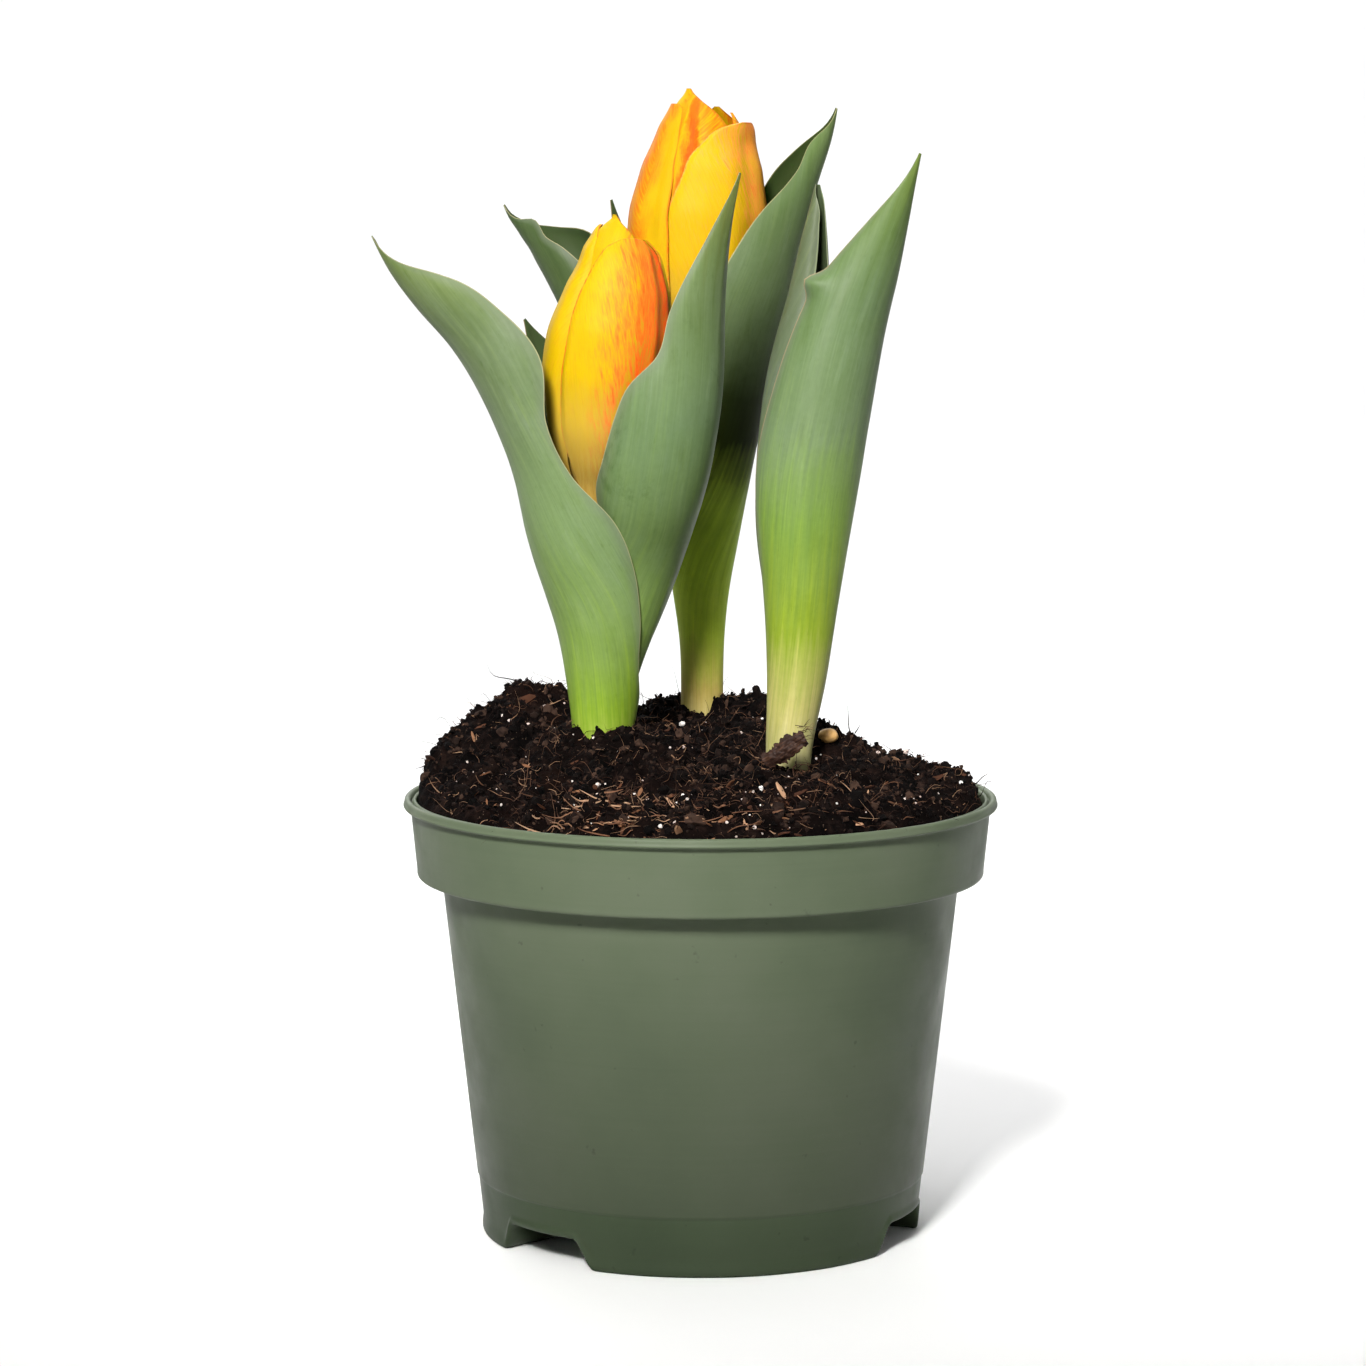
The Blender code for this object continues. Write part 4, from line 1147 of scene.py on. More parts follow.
# %% The two buds and their swell
FLOWERS = {
    "a": {"foot": (-21.6, -12, 152.0), "top": (-15.2, -12, 205.0), "radius": 12.6},
    "b": {"foot": (-1.6, 25, 172.0), "top": (1.0, 25, 230.0), "radius": 13.9},
}
SWELL = ((0, 0.31), (0.07, 0.55), (0.2, 0.80), (0.4, 0.97), (0.58, 1.0), (0.74, 0.90), (0.88, 0.66),
         (0.96, 0.42), (1, 0.24))
COMMON = ((0, 48), (0.07, 52), (0.2, 55), (0.4, 57), (0.58, 57), (0.74, 56), (0.88, 50), (0.95, 34),
          (0.985, 14), (1, 5))


def common_petal(middle, length=1.0, inset=0.0, lean=0.0):
    """Rows of a petal that mostly hides behind others; lean turns its tip aside."""
    return [(part * length, inset, middle - half + lean * part**6, middle + half + lean * part**6)
            for part, half in COMMON]


for name, flower in FLOWERS.items():
    print("bud", name, "is", flower["top"][2] - flower["foot"][2], "mm long and", 2 * flower["radius"], "mm wide")


# %% Petals of the front bud
PETALS_A = {
    "petal_a_outer_1": [
        (-0.2, 1.05, -40, 70), (-0.12, 0.55, -40, 70), (-0.05, 0.15, -38, 66), (0, 0, -34, 62),
        (0.07, 0, -38, 68), (0.2, 0, -45, 70), (0.4, 0, -45, 72), (0.57, 0, -41, 74), (0.72, 0, -37, 74),
        (0.80, 0, -33, 74), (0.86, 0, -27, 72), (0.90, 0.1, -18, 66), (0.918, 0.2, -6, 58),
        (0.930, 0.3, 8, 48), (0.934, 0.4, 22, 36),
    ],
    "petal_a_outer_3": [
        (-0.05, 1.3, -150, -50), (0, 0, -154, -52), (0.07, 0.1, -160, -48), (0.2, 0.1, -163, -36),
        (0.4, -0.1, -163, -34), (0.52, 0.1, -162, -34), (0.62, 0.8, -162, -34), (0.74, 1.7, -160, -36),
        (0.82, 1.8, -156, -40), (0.88, 1.2, -150, -48), (0.925, 0.7, -140, -56), (0.955, 0.3, -122, -72),
        (0.97, 0.3, -104, -90),
    ],
    "petal_a_inner_3": [
        (0, 1.2, -92, 4), (0.1, 1.2, -98, 10), (0.4, 1.2, -100, 12), (0.6, 1.7, -98, 24),
        (0.74, 2.6, -94, 32), (0.82, 2.5, -90, 37), (0.9, 1.4, -84, 40), (0.95, 0.8, -76, 26),
        (0.98, 0.6, -68, 0), (1.0, 0.4, -58, -26), (1.012, 0.2, -52, -40),
    ],
    "petal_a_outer_2": common_petal(134, 0.93, 0.3, lean=-10),
    "petal_a_inner_1": common_petal(74, 0.915, 1.5, lean=-6),
    "petal_a_inner_2": common_petal(194, 0.985, 1.2, lean=10),
}
print("petals of the front bud:", len(PETALS_A))

# %% Petals of the back bud
PETALS_B = {
    "petal_b_outer_1": [
        (0, 0, -16, 88), (0.07, 0, -22, 92), (0.2, 0, -34, 96), (0.4, 0, -42, 98), (0.5, 0, -38, 98),
        (0.62, 0, -27, 98), (0.703, 0, -20, 97), (0.786, -0.1, -12, 95), (0.83, -0.4, 0, 93),
        (0.862, -0.9, 10, 91), (0.885, -1.3, 25, 88), (0.898, -1.6, 44, 82), (0.903, -1.8, 56, 74),
    ],
    "petal_b_outer_3": [
        (0, 0, -130, -32), (0.07, 0.1, -134, -28), (0.2, -0.4, -137, -25), (0.4, -1.1, -138, -25),
        (0.58, -0.7, -137, -27), (0.74, 0.2, -134, -29), (0.86, 0.1, -128, -32), (0.92, -0.3, -118, -37),
        (0.945, -0.6, -106, -44), (0.957, -0.8, -92, -56),
    ],
    "petal_b_inner_3": [
        (0, 1.1, -66, 26), (0.1, 1.1, -72, 32), (0.4, 1.1, -76, 34), (0.6, 1.1, -76, 36), (0.8, 0.9, -74, 38),
        (0.88, 0.5, -74, 36), (0.93, 0.1, -74, 22), (0.96, -0.2, -76, 2), (0.985, -0.5, -78, -22),
        (1.0, -0.8, -76, -40), (1.012, -0.8, -70, -52),
    ],
    "petal_b_outer_2": common_petal(160, 0.955, lean=-6),
    "petal_b_inner_1": common_petal(100, 0.935, 1.1, lean=-14),
    "petal_b_inner_2": common_petal(220, 0.965, 1.2, lean=18),
}
print("petals of the back bud:", len(PETALS_B))

# %% Folds along the petals, as (degrees, width in degrees, millimetres out, from, to)
FOLDS = {
    "petal_a_outer_1": [(-38, 6, 0.32, 0.15, 0.8), (45, 5, 0.34, 0.3, 0.97), (57, 8, -0.3, 0.35, 0.97),
                        (10, 26, 0.2, 0.1, 0.9)],
    "petal_a_outer_3": [(-42, 8, -0.95, 0.1, 0.95), (-64, 12, 0.25, 0.2, 0.95), (-104, 14, 0.3, 0.2, 1)],
    "petal_b_inner_3": [(-26, 3.4, 0.75, 0.45, 1.02), (-14, 6, -0.8, 0.45, 0.97), (8, 10, 0.35, 0.5, 0.95)],
    "petal_b_outer_3": [(-42, 6, -0.35, 0.4, 0.93), (-62, 12, 0.3, 0.3, 1)],
    "petal_b_outer_1": [(28, 8, 0.35, 0.3, 0.86), (52, 9, -0.4, 0.35, 0.9), (72, 10, 0.3, 0.3, 0.9)],
}
print("folds:", sum(map(len, FOLDS.values())))

# %% [markdown]
# The steps along a petal close up towards its tip, where the outline turns quickly. Its edges wander a
# little and turn in, and its middle swells and dips, so no petal looks pressed from a mould.

# %% Sections along a petal
PETAL_STEPS, PETAL_ACROSS = 84, 44
SWELL_EASING = 9


def petal_line(flower, rows):
    """The part of the way up, the section line, and the directions of the two edges."""
    foot, top = np.array(flower["foot"], float), np.array(flower["top"], float)
    rows = np.array(rows, float)
    part = rows[0, 0] + (rows[-1, 0] - rows[0, 0]) * np.sin(np.linspace(0, math.pi / 2, PETAL_STEPS))
    inset, left, right = read_rows(rows, rows[:, 0], part)[:, 1:].T
    evenly = np.linspace(0, 1.02, 200)
    swell = np.interp(part, evenly, np.interp(evenly, *np.array(SWELL).T))
    window = np.hanning(SWELL_EASING) / np.hanning(SWELL_EASING).sum()
    swell = np.convolve(np.pad(swell, SWELL_EASING // 2, mode="edge"), window, "valid")
    line = np.c_[foot + (top - foot) * part[:, None], flower["radius"] * swell - inset, -(left + right) / 2]
    return part, line, left, right


print("sections from the foot of a petal to its tip:", PETAL_STEPS)

# %% Small bends of a petal


def petal_push(name, degrees, up, edge, seed):
    push = 0.35 * (lumps(np.stack([degrees * 0.05, up * 7, 0 * up + seed], -1), 1.0) - 0.5)
    push = push * smoothstep(0.05, 0.3, up) - 0.38 * smoothstep(0.86, 1.0, edge) * smoothstep(0.1, 0.5, up)
    for at, width, out, start, end in FOLDS.get(name, []):
        reach = smoothstep(start, start + 0.15, up) * smoothstep(end, end - 0.12, up)
        push = push + out * reach * np.exp(-(((degrees - at) / width) ** 2))
    return push


def make_petal(name, rows, paint):
    part, line, left, right = petal_line(FLOWERS[name.split("_")[1]], rows)
    middle, half = (left + right) / 2, (right - left) / 2
    seed = sum(map(ord, name)) * 0.37
    spread = crowded(PETAL_ACROSS, 0.9)
    shake = lumps(np.stack([part * 16 + seed, 0 * part, 0 * part], -1), 1.0) - 0.5
    shake = shake * smoothstep(0.3, 0.6, part) * 1.6
    angles = np.radians(half[:, None] * spread + shake[:, None] * np.abs(spread) ** 3)
    degrees = np.degrees(angles) + middle[:, None]
    edge, up = np.abs(spread)[None] + 0 * angles, part[:, None] + 0 * angles
    thick = np.minimum(0.15 + 0.45 * (1 - edge**2), 0.38 * np.maximum(line[:, 3:4], 0.6))
    more = {"edge": edge, "degrees": degrees, "up_petal": up}
    return sheet_object(name, line, angles, thick, petal_push(name, degrees, up, edge, seed), paint, more)


print("points in a petal:", 2 * PETAL_STEPS * PETAL_ACROSS)

# %% [markdown]
# ### Yellow petals with flames
#
# A petal is clear yellow. Orange and red flames lie along chosen directions, strongest where the petal
# folds, in short strokes that leave its middle vein at a slant, as in a real tulip. The foot of the
# flower stays greenish beige. Painting a texture by hand would need a flat map of each petal; here the
# mesh already knows each point's direction and height. Thin petals let some light through, which the
# shader's own scattering gives.

# %% Where a flame burns


def band(paint, value, middle, half, soft):
    """1 near the middle of a range, falling to 0 at its soft ends."""
    away = paint.math("ABSOLUTE", paint.math("SUBTRACT", value, middle))
    return paint.range(away, half, half + soft, 1.0, 0.0)


def flame_field(paint, flames, degrees, up, edge, cloud):
    """flames are (direction, width, from, to, strength); the rim of a petal always burns a little."""
    wander = paint.plus(degrees, paint.swing(cloud, 34.0))
    field = paint.times(paint.range(edge, 0.955, 0.99, 0.0, 0.8), paint.range(up, 0.1, 0.6, 0.55, 1.0))
    for at, width, low, high, strength in flames:
        reach = paint.times(band(paint, wander, at, width * 0.45, width * 0.75),
                            band(paint, up, (low + high) / 2, (high - low) / 2, 0.14))
        field = paint.math("MAXIMUM", field, paint.times(reach, strength))
    return field


# %% Paint of a petal
FLAME_STEPS = (0.0, 0.22, 0.46, 0.72, 1.0)
RIB_TINT, GOLD, FOOT_BEIGE, DUSK = (0.74, 0.58, 0.40), (0.42, 0.27, 0.004), (0.33, 0.215, 0.050), (0.62, 0.42, 0.26)
FOOT_PART = 0.2


def petal_paint(name, flames, tones, rib, steep):
    """tones run from clear yellow to deepest red; rib is the middle vein's direction, steep its side veins'."""
    paint = Paint(name, Specular_IOR_Level=0.07, Subsurface_Weight=0.16, Subsurface_Radius=(1.0, 0.55, 0.12),
                  Subsurface_Scale=0.0013)
    degrees, up, edge, along = (paint.number(label) for label in ("degrees", "up_petal", "edge", "along"))
    side = paint.range(degrees, rib - 14.0, rib + 14.0, 1.0, -1.0)
    slant = paint.plus(paint.number("across"), paint.times(paint.times(side, along), steep))

    def drawn(across_scale, along_scale, shift, detail, rough):
        place = paint.where(paint.times(slant, across_scale), paint.times(along, along_scale), shift)
        return paint.noise(1.0, detail, place, rough)

    strokes, fine = drawn(1.4, 0.22, 0.0, 3.0, 0.6), drawn(3.6, 0.40, 5.0, 3.0, 0.62)
    ribs, cloud = drawn(3.0, 0.10, 9.0, 2.0, 0.55), paint.noise(150.0, 4.0)
    flame = flame_field(paint, flames, degrees, up, edge, cloud)
    streaked = paint.plus(paint.plus(flame, paint.swing(strokes, 2.2)), paint.swing(fine, 1.6))
    colour = paint.ramp(paint.times(streaked, paint.range(flame, 0.02, 0.30)), *zip(FLAME_STEPS, tones))
    quiet = paint.times(paint.range(fine, 0.50, 0.66, 0.0, 0.55), paint.range(up, 0.25, 0.75, 0.35, 1.0))
    colour = paint.mix(quiet, colour, tones[2])
    colour = paint.shade(paint.range(ribs, 0.54, 0.74, 0.0, 0.30), colour, RIB_TINT)
    colour = paint.mix(paint.range(cloud, 0.45, 0.75, 0.0, 0.3), colour, GOLD)
    foot = paint.plus(up, paint.swing(strokes, 0.16))
    colour = paint.mix(paint.range(foot, FOOT_PART + 0.22, 0.0, 0.0, 0.9), colour, FOOT_BEIGE)
    dusk = paint.times(paint.range(foot, FOOT_PART, -0.1), paint.range(strokes, 0.42, 0.62))
    paint.set("Base Color", paint.shade(paint.times(dusk, 0.55), colour, DUSK))
    paint.set("Roughness", paint.range(cloud, 0.3, 0.7, 0.46, 0.60))
    paint.bump(strokes, 0.10, 0.6)
    paint.bump(fine, 0.07, 0.6)
    return paint.material


print("the beige foot takes up", FOOT_PART, "of a petal")

# %% Tones, flames and veins of each petal
TONES_A = ((0.41, 0.268, 0.001), (0.42, 0.232, 0.003), (0.45, 0.188, 0.010), (0.56, 0.128, 0.013),
           (0.74, 0.062, 0.008))
TONES_B = ((0.44, 0.272, 0.001), (0.46, 0.232, 0.002), (0.48, 0.180, 0.004), (0.48, 0.128, 0.004),
           (0.46, 0.068, 0.003))
# Painted light: lighter tones for the right outer petal of the back bud, where that side is lit more brightly
TONES_B_RIGHT_PAINTED_LIGHT = ((0.46, 0.280, 0.003), (0.52, 0.265, 0.012), (0.60, 0.250, 0.032), (0.64, 0.205, 0.028),
                 (0.60, 0.130, 0.014))
FLAMES = {
    "petal_a_outer_1": [(76, 34, 0.10, 1.0, 1.05), (40, 24, 0.12, 0.96, 0.80), (18, 22, 0.10, 0.90, 0.52),
                        (0, 16, 0.08, 0.80, 0.26)],
    "petal_a_outer_3": [(-150, 16, 0.3, 0.9, 0.5)],
    "petal_a_inner_3": [(20, 14, 0.85, 1.1, 0.45)],
    "petal_b_outer_1": [(62, 26, 0.1, 0.92, 0.48), (88, 18, 0.3, 0.95, 0.68), (70, 20, 0.84, 0.95, 0.85),
                        (30, 22, 0.78, 0.92, 0.4)],
    "petal_b_outer_3": [(-96, 20, 0.15, 0.97, 0.85), (-66, 20, 0.40, 0.97, 0.62)],
    "petal_b_inner_3": [(-15, 10, 0.35, 0.97, 1.15), (4, 14, 0.6, 1.0, 0.50), (20, 14, 0.6, 1.0, 0.62),
                        (-40, 12, 0.8, 1.0, 0.35)],
}
# For each petal, the direction of its middle vein and how steeply the fine veins leave it
RIBS = {"petal_a_outer_1": (45, 0.30), "petal_b_inner_3": (-26, 1.1), "petal_b_outer_3": (-40, 1.1),
        "petal_b_outer_1": (72, 0.5)}
print("petals with flames of their own:", sorted(FLAMES))

# %% All twelve petals
for name, rows in {**PETALS_A, **PETALS_B}.items():
    turn = 0.5 * (rows[4][2] + rows[4][3])
    common_flames = [(turn + 34, 18, 0.3, 0.95, 0.7), (turn - 30, 16, 0.35, 0.95, 0.6), (turn, 12, 0.4, 0.9, 0.3)]
    rib, steep = RIBS.get(name, (turn, 0.35))
    # The back bud's right outer petal takes the tones with painted light
    tones = TONES_B_RIGHT_PAINTED_LIGHT if name == "petal_b_outer_1" else TONES_A if "_a_" in name else TONES_B
    paint = petal_paint(f"{name}_yellow", FLAMES.get(name, common_flames), tones, rib, steep)
    belongs(make_petal(name, rows, paint), name)
print("petals:", len(PETALS_A) + len(PETALS_B))

# %% [markdown]
# ## Stems and the third plant's bud
#
# The stems stand inside their leaves and show only here and there, as smooth pale green rods with fine
# lines along them. The third plant keeps a small closed bud low between its leaves. A bevelled curve
# would do for a stem but not for the three-sided bud, so one function lofts round sections along a line
# and can swell them in three places.

# %% A round body along a line


def round_body(name, line, radii, paint, around=32, lobes=0.0, twist=0.0):
    tangent = unit(np.gradient(line, axis=0))
    side = unit(np.cross(tangent, (0.0, 1.0, 0.02)))
    third = np.cross(tangent, side)
    turns = np.linspace(0, 2 * math.pi, around, endpoint=False)
    up = np.linspace(0, 1, len(line))[:, None]
    grow = 1 + lobes * np.cos(3 * (turns[None] + twist * up)) * np.sin(up * math.pi)
    around_line = side[:, None] * np.cos(turns)[None, :, None] + third[:, None] * np.sin(turns)[None, :, None]
    points = line[:, None] + around_line * (np.asarray(radii)[:, None] * grow)[..., None]
    faces = grid_faces(len(line), around, closed=True).tolist()
    total = len(line) * around
    for k in range(around):
        after = (k + 1) % around
        faces += [[total, after, k], [total + 1, total - around + k, total - around + after]]
    return mesh_object(name, np.concatenate([points.reshape(-1, 3), line[:1], line[-1:]]), faces, paint=paint)


# %% Paint of stems and young bud
STEM_TONES = ((0.3, (0.17, 0.21, 0.06)), (0.5, (0.24, 0.28, 0.09)), (0.72, (0.30, 0.33, 0.12)))
BUD_TONES = ((0.3, (0.12, 0.18, 0.05)), (0.55, (0.18, 0.24, 0.07)), (0.75, (0.25, 0.29, 0.10)))
STEM_SPECK, BUD_PALE = (0.26, 0.22, 0.10), (0.50, 0.50, 0.16)


def lined_paint(name, roughness, factors, tones, spots, spot_colour):
    """Smooth green skin with fine lines along it; spots are (scale, low, high, strength)."""
    paint = Paint(name, Roughness=roughness)
    lines = paint.noise(1.0, 3.0, paint.stretched(factors))
    scale, low, high, strength = spots
    spot = paint.range(paint.noise(scale, 3.0), low, high, 0.0, strength)
    paint.set("Base Color", paint.mix(spot, paint.ramp(lines, *tones), spot_colour))
    paint.bump(lines, 0.08, 0.5)
    return paint.material


stem_green = lined_paint("pale_stem", 0.45, (900, 900, 40), STEM_TONES, (260.0, 0.6, 0.72, 0.5), STEM_SPECK)
bud_green = lined_paint("young_bud", 0.5, (1300, 1300, 90), BUD_TONES, (120.0, 0.4, 0.6, 0.3), BUD_PALE)
print("paints:", stem_green.name, bud_green.name)

# %% Three stems, each as points of its line and its radius
STEMS = {
    "stem_a": ([(-19.5, -12, 84.3), (-19.6, -12, 110), (-20.6, -12, 135), (-21.6, -12, 151.2)], 2.5),
    "stem_b": ([(0.4, 25, 84.3), (0.4, 25, 120), (-0.4, 25, 150), (-1.6, 25, 171.5)], 1.9),
    "stem_c": ([(17.4, -14, 84.3), (17.6, -14, 105), (19.2, -13, 122.5)], 2.1),
}
STEM_STEPS, FLARE_TOP = 60, 3.6

for name, (points, radius) in STEMS.items():
    end = radius if name == "stem_c" else min(radius + 1.4, FLARE_TOP)
    radii = radius + (end - radius) * smoothstep(0.8, 1.0, np.linspace(0, 1, STEM_STEPS))
    rod = round_body(f"{name}_rod", smooth_rows(points, STEM_STEPS), radii, stem_green)
    belongs(rod, name)
    print(name, "widens from", radius, "to", end, "mm")


# %% The young bud
BUD_FOOT, BUD_LENGTH, BUD_RADIUS, BUD_STEPS = (19.2, -13.0, 123.0), 30.0, 4.75, 48

part = np.linspace(0, 1, BUD_STEPS)
line = np.array(BUD_FOOT) + np.c_[0 * part, 0 * part, BUD_LENGTH * part]
radii = np.maximum(BUD_RADIUS * np.sin(math.pi * np.clip(part, 0.02, 0.995) ** 1.2) ** 0.7, 0.12)
young_bud = round_body("young_bud", line, radii, bud_green, 48, lobes=0.06, twist=0.6)
belongs(young_bud, "bud_c")
print("bud points:", len(young_bud.data.vertices))

# %% [markdown]
# ## What lies on the peat
#
# At the third plant's foot a torn, papery scrap of brown bulb skin curls up out of the peat. Cloth
# simulation would drape it, but the real one is stiff and stands by itself, so it is drawn like a leaf:
# a thin sheet with ragged edges, crumpled by soft lumps, and a few fibres pulled loose from it.

# %% The scrap of bulb skin
SKIN_ROWS = (
    (12.9, -22.6, 99.2, 3.0, -4, 30, 30), (15.4, -23.2, 100.6, 3.2, 0, 40, 38),
    (18.2, -23.8, 102.6, 3.2, 4, 42, 40), (20.9, -24.2, 103.9, 2.8, 10, 30, 28),
)
SKIN_STEPS, SKIN_ACROSS, SKIN_THICK = 80, 40, 0.22


def make_scrap(paint):
    line = smooth_rows(SKIN_ROWS, SKIN_STEPS)
    part = np.linspace(0, 1, SKIN_STEPS)
    fray = [0.75 + 0.5 * lumps(np.c_[part * 26, 0 * part, 0 * part + k], 1.0) for k in (0, 9)]
    left, right = np.radians(line[:, 5]) * fray[0], np.radians(line[:, 6]) * fray[1]
    spread = np.linspace(-1, 1, SKIN_ACROSS)
    angles = np.where(spread < 0, left[:, None] * spread, right[:, None] * spread)
    crumple = np.stack([part[:, None] * 9 + 0 * angles, angles * 3.2, 0 * angles], -1)
    push = 0.9 * (lumps(crumple, 1.0, 4.4) - 0.5) + 0.25 * (lumps(crumple * 3, 1.0, 2.1) - 0.5)
    return sheet_object("bulb_skin", line, angles, 0 * angles + SKIN_THICK, push, paint)


print("points on each face of the scrap:", SKIN_STEPS * SKIN_ACROSS)

# %% Paint of the scrap
SKIN_TONES = ((0.34, (0.008, 0.004, 0.003)), (0.5, (0.026, 0.012, 0.008)), (0.62, (0.060, 0.028, 0.016)),
              (0.76, (0.150, 0.080, 0.045)))


def skin_paint():
    paint = Paint("papery_bulb_skin", Roughness=0.6, Specular_IOR_Level=0.15)
    veins = lengthwise(paint, 3.0, 0.4, detail=4.0)
    blotch = paint.noise(330.0, 5.0, rough=0.65)
    paint.set("Base Color", paint.ramp(paint.plus(paint.times(veins, 0.6), paint.times(blotch, 0.4)), *SKIN_TONES))
    paint.bump(veins, 0.15, 0.8)
    return paint.material


belongs(make_scrap(skin_paint()), "bulb_skin_scrap")
print("the scrap is", SKIN_THICK, "mm thick")

# %% Fibres pulled loose from the scrap
FIBRES, FRAYED_END = 16, (19.6, -26.6, 105.2)

rng = np.random.default_rng(21)
starts = np.array(FRAYED_END) + rng.normal(scale=(0.7, 0.8, 0.9), size=(FIBRES, 3))
heading = unit(np.array([1.0, -0.25, 0.25]) + rng.normal(scale=0.45, size=(FIBRES, 3)))
lengths, widths = rng.uniform(1.0, 3.2, FIBRES), rng.uniform(0.05, 0.1, FIBRES)
belongs(scatter_threads("skin_fibres", starts, heading, lengths, widths, rng, root_paint, bend=0.3))
print("fibres:", FIBRES)

# %% [markdown]
# A tan pebble lies beside the scrap. It is a fine ball pushed in and out by large and small lumps, which
# keeps it rounder than a cut stone and rougher than a bead.

# %% The pebble
PEBBLE_PLACE, PEBBLE_SIZE, PEBBLE_LIFT = (25.6, -4.0), (2.1, 1.5, 1.5), 1.9
PEBBLE_TONES = ((0.3, (0.34, 0.18, 0.055)), (0.5, (0.56, 0.32, 0.10)), (0.7, (0.66, 0.44, 0.21)))


def make_pebble(paint):
    points, faces = ball(4)
    shape = 1 + 0.16 * (lumps(points * 2.2, 1.0, 3.3) - 0.5) + 0.05 * (lumps(points * 7.0, 1.0, 8.8) - 0.5)
    height = mound_height(*PEBBLE_PLACE)[0] + PEBBLE_LIFT
    return mesh_object("tan_pebble", points * shape[:, None] * PEBBLE_SIZE + (*PEBBLE_PLACE, height), faces,
                       paint=paint)


def pebble_paint():
    paint = Paint("tan_stone", Roughness=0.6)
    paint.set("Base Color", paint.ramp(paint.noise(420.0, 6.0, rough=0.65), *PEBBLE_TONES))
    paint.bump(paint.noise(900.0, 5.0), 0.15, 0.7)
    return paint.material


belongs(make_pebble(pebble_paint()), "pebble")
print("the pebble is", 2 * PEBBLE_SIZE[0], "mm long")

# %% [markdown]
# ## Pieces kept from the measured part
#
# The bulbs lie under the peat, and the pistils and stamens are shut inside the flowers. Nobody sees
# them, so they stay as they were measured. They still get paint of their own, so that a cut view would
# show a papery bulb skin, a ribbed green pistil and dusty dark anthers.

# %% Paint of the hidden pieces
BULB_TONES = ((0.3, (0.13, 0.05, 0.02)), (0.6, (0.30, 0.14, 0.05)), (0.8, (0.42, 0.24, 0.11)))
ANTHER_TONES = ((0.3, (0.03, 0.015, 0.03)), (0.7, (0.10, 0.055, 0.06)))


def hidden_paint(name, stops, scale, roughness, depth):
    paint = Paint(name, Roughness=roughness)
    grain = paint.noise(scale, 5.0, rough=0.6)
    paint.set("Base Color", paint.ramp(grain, *stops))
    paint.bump(grain, depth, 0.6)
    return paint.material


HIDDEN = {
    "bulb_": hidden_paint("bulb_brown", BULB_TONES, 130.0, 0.5, 0.2),
    "pistil_": bud_green,
    "stamen_": hidden_paint("anther_dark", ANTHER_TONES, 900.0, 0.75, 0.1),
}
for name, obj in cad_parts.items():
    for word, paint in HIDDEN.items():
        if name.startswith(word) and name != "bulb_skin_scrap":
            for entry in obj.material_slots:
                entry.material = paint
print("hidden pieces:", sum(name.startswith(tuple(HIDDEN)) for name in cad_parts) - 1)

# %% [markdown]
# ## Floor, light and camera
#
# The pot stands in a round white bowl: a flat floor that curves up into a wall on every side, so no
# edge shows from any direction. A flat card behind would show its side from elsewhere.

# %% The white bowl
BOWL_TURNS, BOWL_BEND = 96, 550.0
CARD_WHITES = ((0.3, (0.90, 0.90, 0.90)), (0.7, (0.92, 0.92, 0.92)))


def make_sweep():
    turns = np.linspace(0, 2 * math.pi, BOWL_TURNS + 1)[:-1]
    curve = [(1050 + BOWL_BEND * math.sin(a), BOWL_BEND - BOWL_BEND * math.cos(a))
             for a in np.linspace(0, math.pi / 2, 16)]
    rings = [(60.0, 0.0), (400.0, 0.0), *curve, (1600.0, 1500.0)]
    points = np.array([[(r * math.cos(t), r * math.sin(t), z) for t in turns] for r, z in rings], float)
    faces = grid_faces(len(rings), BOWL_TURNS, closed=True).tolist() + [list(range(BOWL_TURNS))[::-1]]
    paint = Paint("white_card", Roughness=0.9)
    paint.set("Base Color", paint.ramp(paint.noise(3.0, 2.0), *CARD_WHITES))
    return mesh_object("floor_sweep", points.reshape(-1, 3), faces, paint=paint.material)


make_sweep()
print("the bowl's wall bends up over", BOWL_BEND, "mm")

# %% [markdown]
# A large soft light hangs above. A small narrow one stands in front to the left and lights the flowers
# and leaves, one brightens the wall behind, and a weak one behind the pot lifts its far side. One big
# light would be simpler, but then leaves in front would not darken those behind them. The
# shadow under the pot stays soft and short.

# %% Soft lights


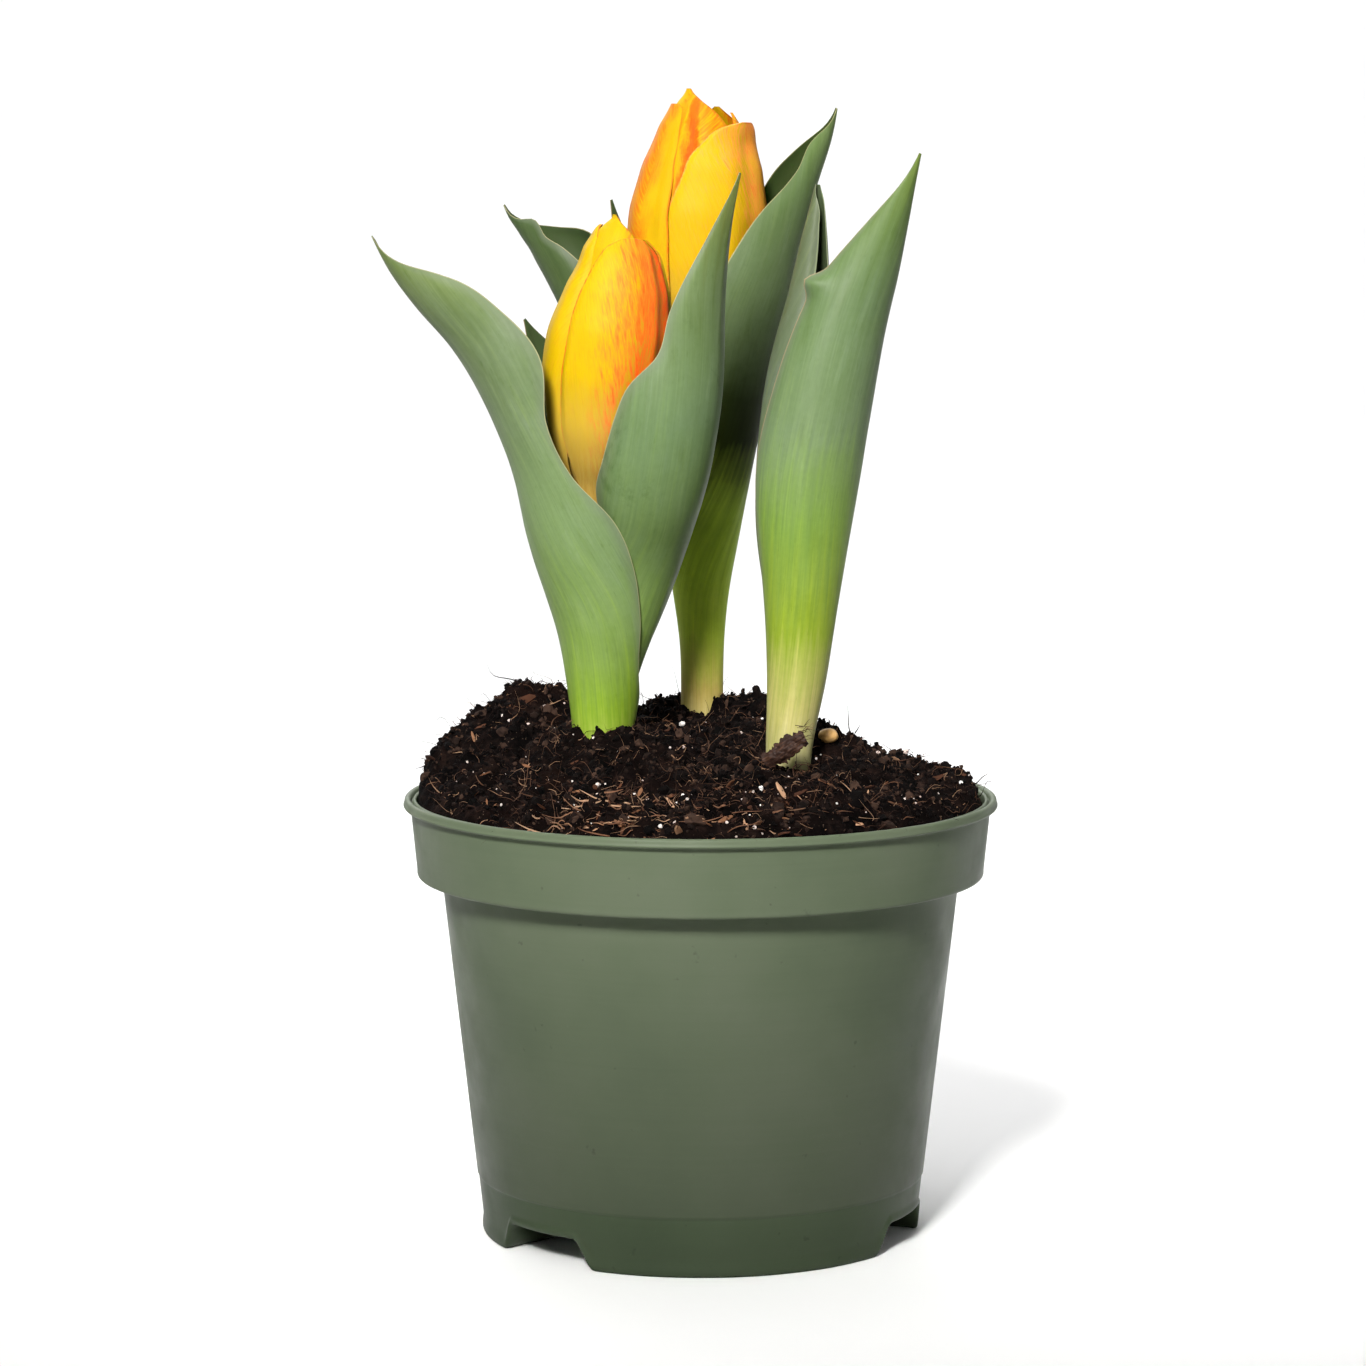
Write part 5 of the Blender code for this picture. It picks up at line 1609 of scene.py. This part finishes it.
def soft_light(name, place_mm, aim_mm, size_mm, watts, colour=(1, 1, 1), spread=180):
    data = bpy.data.lights.new(name, "AREA")
    data.shape = "RECTANGLE"
    data.size, data.size_y = size_mm[0] * MM, size_mm[1] * MM
    data.energy = watts
    data.color = colour
    data.spread = math.radians(spread)
    obj = bpy.data.objects.new(name, data)
    place, aim = Vector(place_mm) * MM, Vector(aim_mm) * MM
    obj.matrix_world = Matrix.Translation(place) @ (aim - place).to_track_quat("-Z", "Y").to_matrix().to_4x4()
    bpy.context.scene.collection.objects.link(obj)
    return obj


lights = (
    soft_light("key", (-250, -1000, 800), (0, 0, 172), (260, 260), 1.0, (1.0, 0.985, 0.96), 26),
    soft_light("top", (-60, 150, 1300), (0, 50, 0), (1400, 1400), 4.2, spread=120),
    soft_light("backdrop", (0, 300, 1250), (0, 1500, 500), (500, 300), 12.0, spread=150),
    soft_light("back", (-250, 1000, 700), (0, 60, 60), (900, 700), 1.0, spread=80),
)
print("lights:", [light.name for light in lights])

# %% Pale surroundings
SURROUNDINGS = 0.06

world = bpy.data.worlds.new("studio")
bpy.context.scene.world = world
world.use_nodes = True
background = world.node_tree.nodes["Background"]
background.inputs["Color"].default_value = (1.0, 1.0, 1.0, 1.0)
background.inputs["Strength"].default_value = SURROUNDINGS
print("the surroundings shine at", SURROUNDINGS)

# %% [markdown]
# The camera looks from a little above the middle of the plant, slightly down, through a long lens, so the
# pot's rim is a flat ellipse and its sides hardly converge.

# %% Camera
LENS, SENSOR = 118.41, 36.0
CAMERA_PLACE, CAMERA_DOWN = (-3.54, -900.0, 218.6), 0.1183

camera_data = bpy.data.cameras.new("camera")
camera_data.sensor_width, camera_data.lens = SENSOR, LENS
camera_data.clip_start, camera_data.clip_end = 0.05, 20.0
camera = bpy.data.objects.new("camera", camera_data)
camera.location = Vector(CAMERA_PLACE) * MM
camera.rotation_euler = (math.pi / 2 - CAMERA_DOWN, 0.0, 0.0)
bpy.context.scene.collection.objects.link(camera)
bpy.context.scene.camera = camera
bpy.context.scene.view_settings.view_transform = "Standard"
print("the camera looks down by", round(math.degrees(CAMERA_DOWN), 1), "degrees")
